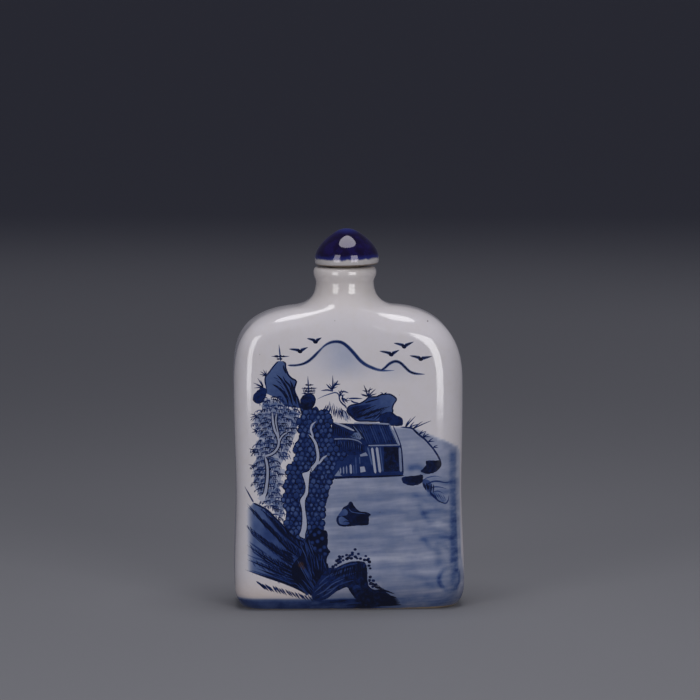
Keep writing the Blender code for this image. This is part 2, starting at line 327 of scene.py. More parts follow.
class Painting:
    """Brush work on one broad face, as shapes in (x, height) laid one over another.

    A shape's ink runs evenly from ink[0] at its start to ink[1] at its end. Shapes of one stroke
    don't darken each other where they overlap, and shapes of different strokes do. A shape that
    covers replaces what lies under it, wash and all.
    """

    def __init__(self, side):
        self.side = side
        self.shapes = []  # each an outline, start, end, ink, its stroke's number, whether it covers, and its area
        self.strokes = 0

    def shape(self, outline, start, end, ink, covers=False, new_stroke=True):
        self.strokes += new_stroke
        x, z = np.asarray(outline, float).T
        half = FACE_SHARE * half_width_at(z) - EDGE_MARGIN
        x, z = np.clip(x, -half, half), np.clip(z, PATCH_LOW + EDGE_MARGIN, PATCH_HIGH - EDGE_MARGIN)
        area = 0.5 * np.sum(x * np.roll(z, -1) - z * np.roll(x, -1))
        if abs(area) >= LEAST_AREA:
            outline = np.column_stack([x, z])[:: 1 if area > 0 else -1]
            self.shapes.append((outline, start, end, ink, self.strokes, covers, abs(area)))

    def fill(self, outline, ink, end_ink=None, along=(0.0, -1.0), covers=False):
        """A filled outline, whose ink may change along a direction."""
        outline = pairs(outline)
        reach = outline @ np.asarray(along, float)
        start, end = outline[reach.argmin()], outline[reach.argmax()]
        self.shape(outline, start, end, (ink, ink if end_ink is None else end_ink), covers)

    def brush(self, path, width, ink, taper=(0.3, 0.5), covers=False):
        """A stroke along a path: thin where the brush lands and lifts, by the shares in taper.

        width and ink are numbers, or rows of numbers spread evenly along the path.
        """
        path = np.asarray(path, float)
        run = length_along(path) / max(length_along(path)[-1], 1e-9)
        width, ink = (
            np.interp(run, np.linspace(0.0, 1.0, np.size(value)), np.atleast_1d(value)) for value in (width, ink)
        )
        swell = np.minimum(run / max(taper[0], 1e-3), (1 - run) / max(taper[1], 1e-3))
        half = 0.5 * width * np.sqrt(np.clip(swell, 0.02, 1.0))
        way = np.gradient(path, axis=0)
        way /= np.maximum(np.linalg.norm(way, axis=1), 1e-9)[:, None]
        out = np.column_stack([-way[:, 1], way[:, 0]]) * half[:, None]
        left, right = path + out, path - out
        for i in range(len(path) - 1):
            quad = np.array([left[i], left[i + 1], right[i + 1], right[i]])
            away = quad - quad.mean(0)
            quad = quad[np.argsort(np.arctan2(away[:, 1], away[:, 0]))]
            self.shape(quad, path[i], path[i + 1], (ink[i], ink[i + 1]), covers, new_stroke=i == 0)

    def line(self, places, width, ink, **how):
        """A stroke on a smooth path through places."""
        self.brush(through(*places), width, ink, **how)

    def lines(self, rows, **how):
        """Strokes from rows of places, width and ink."""
        for places, width, ink in rows:
            self.line(places, width, ink, **how)

    def triangulate(self, border):
        """Triangles of the patch inside a border, cut along every outline.

        Returns points whose first ones are the border's, triangles, and per corner the density
        of the brush work and whether the wash shows there.
        """
        rims = [border] + [shape[0] for shape in self.shapes]
        ends = np.cumsum([len(rim) for rim in rims])
        outlines = [list(range(end - len(rim), end)) for rim, end in zip(rims, ends)]
        rims = np.vstack(rims)
        flat = [Vector(point) for point in np.vstack([rims, self.loose_points(rims)])]
        found = delaunay_2d_cdt(flat, [], outlines, 0, MERGE, True)
        flat, triangles, from_points, from_faces = found[0], found[2], found[3], found[5]
        inside = [i for i, faces in enumerate(from_faces) if 0 in faces]
        triangles = np.array([triangles[i] for i in inside])
        flat = np.array(flat)
        place = {source: i for i, sources in enumerate(from_points) for source in sources}
        order = [place[i] for i in range(len(border))]
        used = np.zeros(len(flat), bool)
        used[triangles] = True
        used[order] = False
        order = np.array(order + list(np.flatnonzero(used)))
        rank = np.full(len(flat), -1)
        rank[order] = np.arange(len(order))
        covering = self.without_spills([sorted(set(from_faces[i]) - {0}) for i in inside], flat[triangles])
        ink, washed = self.densities(flat[triangles], covering)
        return flat[order], rank[triangles], ink, washed

    def without_spills(self, covering, corners):
        """The shapes over each triangle, without any sliver that the triangulation let run out."""
        sides = corners[:, 1:] - corners[:, :1]
        areas = 0.5 * np.abs(sides[:, 0, 0] * sides[:, 1, 1] - sides[:, 0, 1] * sides[:, 1, 0])
        covered = np.zeros(len(self.shapes) + 1)
        for shapes, area in zip(covering, areas):
            covered[shapes] += area
        spilled = covered[1:] > SPILL_RATIO * np.array([shape[-1] for shape in self.shapes]) + SPILL_SLACK
        return [[shape for shape in shapes if not spilled[shape - 1]] for shapes in covering]

    def loose_points(self, taken):
        """A staggered grid over the patch, kept a little away from all other points."""
        grain = GRAIN_FRONT if self.side < 0 else GRAIN_BACK
        rows = np.arange(PATCH_LOW + grain, PATCH_HIGH - grain / 2, grain)
        grid = []
        for i, z in enumerate(rows):
            half = FACE_SHARE * half_width_at(z) - grain / 2
            x = np.arange(-half, half, grain) + (i % 2) * grain / 2
            grid.append(np.column_stack([x[x < half], np.full((x < half).sum(), z)]))
        grid = np.vstack(grid)
        cells = {tuple(cell) for cell in np.floor(taken / CROWDING).astype(int)}
        near = [tuple(cell) in cells for cell in np.floor(grid / CROWDING).astype(int)]
        return grid[~np.array(near)]

    def densities(self, corners, covering):
        """Ink per corner, and 1 or 0 for whether the wash shows there."""
        starts, ends, inks, strokes, covers, _ = map(np.array, list(zip(*self.shapes))[1:])
        along = ends - starts
        reach = np.maximum((along**2).sum(1), 1e-9)
        before = np.ones(corners.shape[:2])
        here = np.zeros(corners.shape[:2])
        washed = np.ones(corners.shape[:2])
        stroke = np.full(len(corners), -1)
        for depth in range(max(len(shapes) for shapes in covering)):
            rows = np.array([i for i, shapes in enumerate(covering) if len(shapes) > depth])
            shape = np.array([covering[i][depth] - 1 for i in rows])
            share = ((corners[rows] - starts[shape][:, None]) * along[shape][:, None]).sum(2)
            share = np.clip(share / reach[shape][:, None], 0.0, 1.0)
            ink = inks[shape, 0][:, None] + share * (inks[shape, 1] - inks[shape, 0])[:, None]
            same = (strokes[shape] == stroke[rows])[:, None]
            covering_here = covers[shape][:, None]
            after = np.where(same, before[rows], before[rows] * (1 - here[rows]))
            before[rows] = np.where(covering_here, 1.0, after)
            here[rows] = np.where(same, np.maximum(here[rows], ink), ink)
            washed[rows] = np.where(covering_here, 0.0, washed[rows])
            stroke[rows] = strokes[shape]
        return 1 - before * (1 - here), washed


# ================================================================ brush patterns


def spline(*corners):
    """Points of a smooth curve from the second of four points up to the third."""
    a, b, c, d = (np.array(corner, float) for corner in corners)
    t = np.linspace(0.0, 1.0, SPLINE_STEPS, endpoint=False)[:, None]
    return b + 0.5 * ((c - a) * t + (2 * a - 5 * b + 4 * c - d) * t**2 + (3 * b - a - 3 * c + d) * t**3)


def through(*points, step=0.35):
    """An evenly spaced smooth path through places."""
    points = pairs(points)
    ends = np.vstack([2 * points[0] - points[1], points, 2 * points[-1] - points[-2]])
    runs = [spline(*corners) for corners in zip(ends, ends[1:], ends[2:], ends[3:])]
    return respace(np.vstack([*runs, points[-1:]]), step)


def loop(*points, step=0.4, ragged=0.0, seed=0):
    """A smooth closed outline through places, a little uneven if ragged."""
    points = pairs(points)
    rolled = [np.roll(points, shift, axis=0) for shift in (1, 0, -1, -2)]
    runs = [spline(*corners) for corners in zip(*rolled)]
    path = respace(np.vstack([*runs, points[:1]]), step)[:-1]
    return path + np.random.default_rng(seed).uniform(-ragged, ragged, path.shape)


def inside(outline, points):
    """Which points lie inside a closed outline."""
    start, end = outline, np.roll(outline, -1, axis=0)
    x, z = points[:, :1], points[:, 1:]
    crosses = (start[:, 1] > z) != (end[:, 1] > z)
    rise = np.where(end[:, 1] == start[:, 1], 1.0, end[:, 1] - start[:, 1])
    edge = start[:, 0] + (z - start[:, 1]) / rise * (end[:, 0] - start[:, 0])
    return (crosses & (x < edge)).sum(1) % 2 == 1


def scattered(outline, pitch, seed, jitter=0.25):
    """Points spread unevenly over the inside of an outline, in staggered rows."""
    low, high = outline.min(0), outline.max(0)
    rows = np.arange(low[1], high[1], pitch[1])
    grid = [
        np.column_stack([columns, np.full(len(columns), z)])
        for i, z in enumerate(rows)
        for columns in [np.arange(low[0] + (i % 2) * pitch[0] / 2, high[0], pitch[0])]
    ]
    points = np.vstack(grid)
    points += np.random.default_rng(seed).uniform(-jitter, jitter, points.shape) * pitch
    return points[inside(outline, points)]


def dot(art, middle, radius, ink, sides=9, covers=False, stretch=1.0):
    angle = np.arange(sides) * 2 * math.pi / sides
    art.fill(np.add(middle, radius * np.column_stack([stretch * np.cos(angle), np.sin(angle)])), ink, covers=covers)


def fans(art, width, ink, *sprays):
    """Strokes that spring from the first place of each spray to its other places."""
    for spray in sprays:
        root, *tips = pairs(spray)
        for tip in tips:
            middle = 0.5 * (root + tip) + (0.0, 0.06)
            art.line((root, middle, tip), width, ink, taper=(0.05, 0.8))


def hatch(art, start_line, end_line, count, width, ink, seed, scatter=0.15, bend=0.0, taper=(0.2, 0.7), covers=False):
    """Strokes side by side, each from a place along one line to the same share of another."""
    dice = np.random.default_rng(seed)
    starts, ends = (respace(pairs(line), count=max(1, count - 1)) for line in (start_line, end_line))
    for start, end in zip(starts, ends):
        start, end = start + dice.uniform(-scatter, scatter, 2), end + dice.uniform(-scatter, scatter, 2)
        way = end - start
        middle = 0.5 * (start + end) + bend * np.array([-way[1], way[0]])
        shade = np.clip(ink + dice.uniform(-0.06, 0.04), 0.0, 0.98)
        path = through(start, middle, end, step=0.6)
        art.brush(path, width * dice.uniform(0.75, 1.2), shade, taper=taper, covers=covers)


def round_leaves(art, outline, seed):
    """Crowded round leaves, each lapping over those above: dark rims about paler middles."""
    art.fill(outline, DARK, covers=True)
    dice = np.random.default_rng(seed)
    places = scattered(outline, (1.08, 0.98), seed, jitter=0.2)
    for middle in places[np.argsort(-places[:, 1])]:
        turn, radius = dice.uniform(0, math.pi), dice.uniform(0.48, 0.74)
        size = radius * np.array([dice.uniform(0.8, 1.05), dice.uniform(0.95, 1.2)])
        rim, shade = dice.uniform(0.74, 0.86), dice.uniform(0.56, 0.78)
        middling = dice.uniform(0.5, 0.76)
        for sides, share, ink, end in (
            (7, 1.16, 0.94, 0.94), (6, 0.9, rim, rim + 0.1), (5, middling, shade, shade + 0.1),
        ):
            angle = turn + np.arange(sides) * 2 * math.pi / sides
            ring = share * size * np.column_stack([np.cos(angle), np.sin(angle)])
            art.fill(middle + (1 - share) * dice.uniform(-0.1, 0.1, 2) + ring, ink, end, covers=True)


def fine_leaves(art, outline, seed):
    """Rows of short twigs hung with teeth, pointing away from the trunk, over uneven pale touches."""
    dice = np.random.default_rng(seed)
    middle = outline[:, 0].mean()
    places = scattered(outline, (1.36, 0.92), seed, jitter=0.3)
    for place in places:
        spot = place + 0.1 * (outline.mean(axis=0) - place) + dice.uniform(-0.3, 0.3, 2)
        dot(art, spot, dice.uniform(0.4, 0.8), dice.uniform(0.1, 0.26), sides=7, stretch=1.4)
    for place in places:
        outward = 1.0 if place[0] > middle else -1.0
        reach, drop = dice.uniform(1.0, 1.8), dice.uniform(-0.1, 0.5)
        start = place - (0.5 * outward * reach, -0.5 * drop)
        end = place + (0.5 * outward * reach, -0.5 * drop)
        shade = 0.82 + dice.uniform(-0.16, 0.08)
        art.brush(through(start, place + (0.0, 0.12), end), dice.uniform(0.24, 0.38), shade, taper=(0.2, 0.5))
        for share in np.linspace(0.1, 0.95, dice.integers(3, 6)):
            root = start + share * (end - start) + (0.0, 0.05)
            way = np.array([outward * dice.uniform(-0.05, 0.45), -dice.uniform(0.45, 0.9)])
            art.brush([root, root + 0.5 * way, root + way], dice.uniform(0.2, 0.32), shade, taper=(0.1, 0.6))


def birds(art, *flock):
    """Birds, each from its left tip, body and right tip: wings in one light line that swells at the body."""
    for left, body, right in map(pairs, flock):
        for middle, path, width, taper in (
            (0.5 * (body + left) + (0.25, 0.02), (left, body), (0.2, 0.36, 0.7), (0.3, 0.02)),
            (0.5 * (body + right) + (-0.15, -0.05), (body, right), (0.7, 0.4, 0.22), (0.02, 0.5)),
        ):
            wing = through(path[0], middle, path[1], step=0.3)
            art.brush(wing, np.array(width) + 0.2, 0.3, taper=taper)
            art.brush(wing, width, 0.9, taper=taper)
        dot(art, body + (-0.05, -0.14), 0.4, 0.96, stretch=1.3)


def spire(art, top, foot, tiers):
    """A small tiered pine: an upright with level sprays; tiers are (height, left reach, right reach)."""
    ink = 0.85
    art.brush(through(top, foot), (0.24, 0.4), ink - 0.12, taper=(0.4, 0.05))
    x = foot[0]
    for height, left, right in tiers:
        spray = (x - left, height + 0.05, x, height, x + right, height + 0.06)
        art.line(spray, 0.28, ink, taper=(0.3, 0.3))
        for share in (-0.55, 0.35):
            reach = left if share < 0 else right
            dot(art, (x + share * reach, height + 0.05), 0.22, ink)


def outlined(art, outline, width, ink):
    """A brush line all round an outline."""
    art.brush(np.vstack([outline, outline[:1]]), width, ink, taper=(0.02, 0.02))


# ================================================================ the picture on the front

DARK, DEEP = 0.91, 0.86
BARE = 0.1  # the density left where the brush went round a trunk
RANGE_LINE = (-13, 52.3, -11.2, 52.3, -9.7, 52.6, -8.5, 53.2, -7.3, 54.2, -6.2, 55.3, -5, 56.4, -3.9, 57, -2.8, 57.25,
    -1.6, 57.15, -0.6, 56.6, 0.5, 55.5, 1.4, 54.4, 2.3, 53.3, 3.4, 52.4, 4.6, 51.8, 5.8, 51.35, 7.2, 51.1, 9.5, 51.1)
HUMP_LINE = (6.6, 51.15, 7.4, 51.6, 8.3, 52.4, 9.2, 52.9, 10, 53, 10.9, 52.6, 11.8, 51.7, 12.8, 50.8, 14, 50.4,
    15.9, 50.25)


def paint_sky(art):
    """Far mountains in one long line, and five birds. Their pale washes are in wash_at."""
    for path, widths, inks, taper in (
            (RANGE_LINE, (0.24, 0.3, 0.42, 0.42, 0.22, 0.4, 0.55, 0.6, 0.62, 0.58, 0.5, 0.36, 0.2),
            (0.9, 0.93, 0.93, 0.88, 0.66, 0.86, 0.86, 0.78, 0.8, 0.74, 0.7, 0.6, 0.4), (0.03, 0.12)),
            (HUMP_LINE, (0.3, 0.42, 0.44, 0.42, 0.36, 0.28), (0.84, 0.92, 0.93, 0.92, 0.9, 0.7), (0.05, 0.2))):
        line = through(*path)
        art.brush(line, np.array(widths) + 0.26, 0.32 * np.array(inks), taper=taper)
        art.brush(line, widths, 0.97 * np.array(inks), taper=taper)
    birds(art, (-12.5, 55.75, -10.15, 55.35, -8.5, 56.1), (-8.6, 57.95, -6.8, 57.35, -5.5, 58.1),
        (9.6, 56.8, 11.8, 56.15, 13.8, 57), (6.5, 55.2, 9, 54.55, 10.7, 55.35),
        (12.8, 54.15, 15.15, 53.55, 17.5, 54))


def paint_crag(art):
    """The tall rock on the left, with its pine, tufts and round bush."""
    left = (-14.9, 53.2, -15.9, 52.1, -16.9, 50.8, -17.6, 49.9, -17.75, 49, -17.5, 47.6, -17.4, 46.3)
    right = (-14, 53.2, -13.4, 52.7, -13.4, 51.8, -12.9, 50.4, -12.2, 49.6, -11.2, 49, -11.3, 48.3, -11.6, 47.2,
        -11.3, 46.1, -10.8, 45, -10.4, 43.2)
    sides = [through(*pairs(left)[::-1], step=0.4), through(*right, step=0.4)]
    body = np.vstack([*sides, pairs((-13.5, 43.6, -15, 45.2))])
    art.fill(body, 0.56, 0.74, along=(0.8, -0.6))
    art.line(left, 0.3, DEEP, taper=(0.05, 0.3))
    art.line(right, (0.35, 0.4, 0.34, 0.42, 0.5), 0.92, taper=(0.05, 0.1))
    for points, width in (((-15.3, 50.3, -14.4, 49.4, -13.6, 48.2, -12.9, 46.9, -12.4, 45.4, -12, 43.8), 0.5),
            ((-14, 50, -13.5, 49, -12.6, 48, -12.1, 46.6, -11.6, 44.6), 0.42),
            ((-16.2, 48.3, -15, 47.6, -14, 46.6, -13.2, 45.3, -12.9, 43.9), 0.52),
            ((-12.5, 49.1, -12, 47.8, -11.7, 46.2, -11.2, 44), 0.55), ((-13.9, 52.4, -13.7, 51.5, -13.3, 50.5), 0.3)):
        art.line(points, width, 0.87, taper=(0.3, 0.3))
    hatch(art, (-15.9, 49.9, -13.2, 45.8), (-14.7, 49.2, -12.4, 44.6), 9, 0.2, 0.82, seed=3)
    fans(art, 0.28, DEEP, (-17.5, 50.1, -18.7, 51, -18.9, 50.4, -18.1, 51.4, -17.5, 51.3, -18.4, 50))
    fans(art, 0.32, DEEP, (-18.1, 47.6, -19.3, 49.6, -20.2, 48.6, -19.6, 48.1, -18.7, 49.2, -20, 47.5))
    bush = loop(-19.9, 46.4, -19.1, 47.2, -18.2, 47.6, -17.5, 47.2, -17.5, 46.1, -18.1, 44.9, -18.9, 44.2,
        -19.9, 44.4, -20.4, 45.3, ragged=0.06, seed=5)
    art.fill(bush, 0.88, 0.93)
    spire(art, (-14.55, 56.7), (-14.4, 53.2), ((54.15, 1.9, 1.9), (53.6, 0.9, 0.5)))
    dot(art, (-15.1, 54.2), 0.3, DEEP)
    dot(art, (-14.3, 54.25), 0.26, DEEP)


def paint_left_tree(art):
    """A tree of fine leaves with a pale crooked trunk."""
    crown = loop(-17.6, 46.2, -14.6, 45.6, -12.6, 44, -10.2, 42.8, -10.5, 41.2, -11, 38.6, -11.6, 36.8, -12.6, 34.6,
        -13.6, 32.6, -14.6, 30.6, -14.3, 28.4, -14.8, 26.4, -14.6, 24, -14.2, 22.2, -14, 20.2, -14.4, 18.9,
        -15.6, 19.6, -16.4, 21, -18.2, 22.6, -19.6, 24.4, -20.6, 26.6, -20.4, 28.6, -20.9, 30.8, -20, 32.6,
        -20.8, 34.2, -19.6, 36.2, -19.3, 38.4, -20.3, 40.4, -19.6, 42.6, -18.2, 44.2)
    art.fill(0.93 * (crown - crown.mean(0)) + crown.mean(0), 0.15, 0.2)
    fine_leaves(art, crown, seed=11)
    fans(art, 0.3, DEEP, (-19.4, 41.6, -20.9, 42, -21, 41.2, -20.6, 40.4),
        (-19.9, 34.2, -21.3, 34.6, -21.1, 33.7, -20.9, 33), (-19.9, 30.9, -21.4, 31.2, -21, 30.3),
        (-19.4, 38.3, -20.6, 38.9, -20.7, 38))
    trunk = (-16.3, 42.4, -16.15, 40.4, -15.8, 38.6, -15.15, 37.2, -14.95, 36, -15.2, 34.9, -15.95, 33.9,
        -16.9, 33.35, -18, 33.05)
    stem = (-18, 33.2, -17.65, 32.1, -17.4, 30.6, -17.4, 28.8, -17.6, 27, -17.95, 25.2, -18.7, 23.9)
    twigs = ((-15.4, 42.2, -15.55, 40.4, -15.25, 38.6, -14.9, 36.9),
        (-13.1, 38.1, -14, 37.6, -14.6, 36.8, -14.95, 35.9))
    for points, width in ((trunk, 0.46), (stem, 0.6), (twigs[0], 0.32), (twigs[1], 0.34)):
        art.line(points, width + 0.46, 0.86, taper=(0.15, 0.05))
    for points, width in ((trunk, 0.42), (stem, (0.44, 0.48, 0.54, 0.7)), (twigs[0], 0.26), (twigs[1], 0.28)):
        art.line(points, width, BARE + 0.1, taper=(0.12, 0.02), covers=True)
    art.fill((-19.6, 24.1, -18.5, 24.9, -17.7, 25.2, -18.1, 23.6, -18.6, 23.3), BARE, covers=True)


def paint_centre_tree(art):
    """A tree of round leaves with a pale trunk that widens and narrows down to the rocks."""
    crown = loop(-10.3, 43.4, -8.8, 42.7, -7, 43.6, -6.2, 42.6, -5.2, 43.2, -4.2, 42.2, -3.6, 41, -3.9, 39.6,
        -3.4, 38, -3.5, 36.2, -2.4, 34.4, -0.6, 33.6, -0.9, 32.6, -2.8, 31.8, -3.2, 30.2, -4, 28.4, -4.4, 26.6,
        -4.6, 24.8, -5, 23.2, -5.6, 21.6, -6, 20, -5.8, 18.4, -5.7, 17.2, -7.6, 14.2, -9, 14.1, -10.6, 14.8,
        -12.2, 15.8, -13.7, 17.5, -13.7, 19.6, -13.5, 21.2, -13.6, 22.4, -14.2, 24, -13.7, 25.8, -13.9, 27.4,
        -13.1, 28.8, -13.2, 30.4, -12.1, 31.6, -11.6, 33.4, -11.9, 35.2, -10.9, 36.6, -10.6, 38.6, -10.9, 40.4,
        -10.2, 41.8, ragged=0.08, seed=7)
    round_leaves(art, crown, seed=8)
    bush = loop(-10.3, 45.2, -9.7, 46, -8.5, 46.3, -7.5, 46, -7.1, 45, -7.3, 44, -7.9, 43.1, -8.9, 42.8, -9.9, 43,
        -10.4, 44, ragged=0.06, seed=2)
    art.fill(bush, 0.93, 0.96, covers=True)
    spire(art, (-8.75, 50.0), (-8.6, 46.2), ((48.1, 0.8, 1.1), (47.4, 1.5, 1.8), (46.8, 1.2, 1.4), (46.3, 1.5, 1.3)))
    hatch(art, (-10, 47.6, -7.2, 47.6), (-9.6, 46.2, -7.3, 46.3), 8, 0.2, 0.8, seed=4)
    twig = (-7.1, 40.4, -7.9, 39.7, -8.2, 38.7, -7.9, 37.6, -7.75, 36.8)
    fork = (-4.8, 33.2, -5.7, 32.6, -6.2, 31.9, -6.9, 31.3)
    upper = (-8.7, 37.7, -7.9, 36.9, -7.25, 35.8, -6.9, 34.4, -6.75, 33, -6.95, 31.8, -7.8, 30.6, -8.7, 29.6)
    art.line(upper, 1.0, 0.8, taper=(0.1, 0.05))
    art.line(twig, 0.4, BARE + 0.08, taper=(0.3, 0.02), covers=True)
    art.line(fork, 0.42, BARE + 0.08, taper=(0.3, 0.02), covers=True)
    art.line(upper, (0.3, 0.5, 0.55, 0.62, 0.8), BARE + 0.06, taper=(0.15, 0.02), covers=True)
    lower = loop(-8.1, 30.5, -8.45, 29.2, -8.6, 27.8, -8.75, 26.2, -8.85, 25, -9.4, 23.8, -9.5, 22.2, -9.3, 20.6,
        -9.15, 19, -9.2, 17.6, -9.5, 16.4, -9.6, 15.4, -10.2, 15.6, -10.9, 16.1, -10.5, 17.4, -10.25, 19,
        -10.25, 20.8, -10.4, 22.2, -10.7, 23.4, -10.4, 24.2, -9.7, 25.2, -9.5, 26.6, -9.8, 28, -10.15, 29.4, -9, 29.8)
    art.fill(lower, BARE, 0.16, along=(1.0, -0.2), covers=True)
    outlined(art, lower, 0.22, DARK)


def paint_far_bank(art):
    """The rocks, small trees and the line of a hill above the hut."""
    hill = through(-6.8, 45.1, -5.6, 45.7, -4.2, 46.2, -3, 46.5, -2.3, 46.1, -2.1, 45, -1.6, 44.2, -0.9, 43.6,
        -0.6, 43)
    art.brush(hill, (0.2, 0.24, 0.3, 0.36), (0.6, 0.66, 0.85, DARK), taper=(0.3, 0.05))
    art.line((-3.55, 50.2, -3.5, 48.6, -3.65, 46.6), (0.14, 0.3, 0.4), 0.84, taper=(0.3, 0.05))
    for points in ((-3.4, 47.4, -3, 48.1, -1.9, 48.3), (-3.2, 48, -2.7, 48.6, -2.4, 49.1),
            (-3.7, 47, -4.3, 47.7, -4.9, 48.3), (-3.6, 46.8, -4.7, 47.05, -6, 46.9),
            (-2, 45.6, -1.9, 46.6, -1.6, 47.1), (-1.9, 46.6, -1.1, 46.7, -0.2, 46.4),
            (-1.8, 45.2, -1, 45.1, -0.4, 44.3), (-1.4, 46.1, -1.5, 45, -0.8, 44), (-0.3, 45.2, 1, 45.25, 2.7, 45.2),
            (0.2, 44.9, 0.9, 44.4, 1.9, 44.3)):
        art.line(points, 0.36, 0.82, taper=(0.2, 0.5))
    fans(art, 0.26, 0.74, (-3.55, 47.2, -4.3, 48.4, -3, 48.9, -4.6, 47.6, -2.5, 47.8),
        (-1.9, 45.8, -2.3, 47, -1.2, 47, -0.9, 46), (-1, 44.6, -0.2, 45.5, 0.3, 44.9, -1.6, 45.3))
    hatch(art, (-4.9, 44, -1.4, 42.4), (-5.6, 42.2, -1, 40.4), 15, 0.26, 0.84, seed=6)
    hatch(art, (-2.2, 43.4, -0.7, 42.6), (-1.3, 41.2, 0.1, 40.4), 7, 0.24, 0.8, seed=16)
    hatch(art, (-4.6, 43, -1.2, 41.6), (-4.2, 44.6, -1.9, 43), 8, 0.18, 0.7, seed=9)
    art.line((-1.3, 42.6, -0.9, 41.2, -0.4, 40.2), (0.5, 0.6, 0.4), BARE + 0.1, covers=True)
    rock = loop(-0.6, 43, 0.3, 43.8, 2.2, 44.2, 3.4, 44.9, 4.1, 45.5, 5.7, 45.6, 6.6, 46, 8.4, 46.1, 9.5, 45.5,
        9.9, 44.9, 9.3, 44, 9, 43.1, 9.1, 42.3, 8, 41.2, 6.4, 40.4, 3.6, 40.4, 1.6, 40.5, 0.5, 41.3, -0.4, 42.2)
    art.fill(rock, 0.8, 0.6, along=(0.9, 0.3), covers=True)
    shade = loop(-0.5, 42.9, 0.6, 43.5, 2.6, 43.8, 4.6, 43.9, 3.6, 43.2, 2.7, 42.4, 2.4, 41.2, 1.4, 40.8, 0.4, 41.5,
        ragged=0.05, seed=1)
    art.fill(shade, 0.7, 0.5, along=(1.0, 0.0))
    hatch(art, (0, 42.6, 2.4, 41.2, 5, 40.9), (2, 43.8, 5.2, 43.4, 8.2, 43.4), 15, 0.2, 0.74, seed=21)
    for points in ((1.6, 42.3, 3.6, 43, 5.6, 43.8), (2.4, 41.5, 4.6, 42.4, 6.6, 43, 8.6, 43.5),
            (1.2, 41.2, 3.4, 41.7, 5.4, 42.4, 7.6, 43), (3, 40.9, 5, 41.4, 6.6, 42.2),
            (6.8, 42.1, 6, 41.2, 5.2, 40.6), (3.2, 44.3, 4.6, 44.7, 6.4, 45.2)):
        art.line(points, (0.3, 0.36, 0.2), DEEP, taper=(0.1, 0.6))
    outlined(art, rock, 0.3, DARK)
    lump = loop(6.9, 42, 8.2, 42.4, 9.2, 42.1, 9.7, 41.6, 10.8, 41.2, 11.2, 40.6, 11, 39.4, 8.8, 39.4, 6.4, 40,
        6.2, 41, ragged=0.05, seed=4)
    art.fill(lump, DARK, covers=True)
    fans(art, 0.34, DEEP, (3.9, 45.6, 3, 48.1, 2.3, 46.2, 2.5, 45.9, 4.4, 47.6, 5.5, 47.2, 5.7, 46.2),
        (3.7, 46.6, 3.2, 47.6, 4.9, 47.3, 2.7, 46.9), (7.2, 46, 7.9, 46.5, 6.5, 46.5))


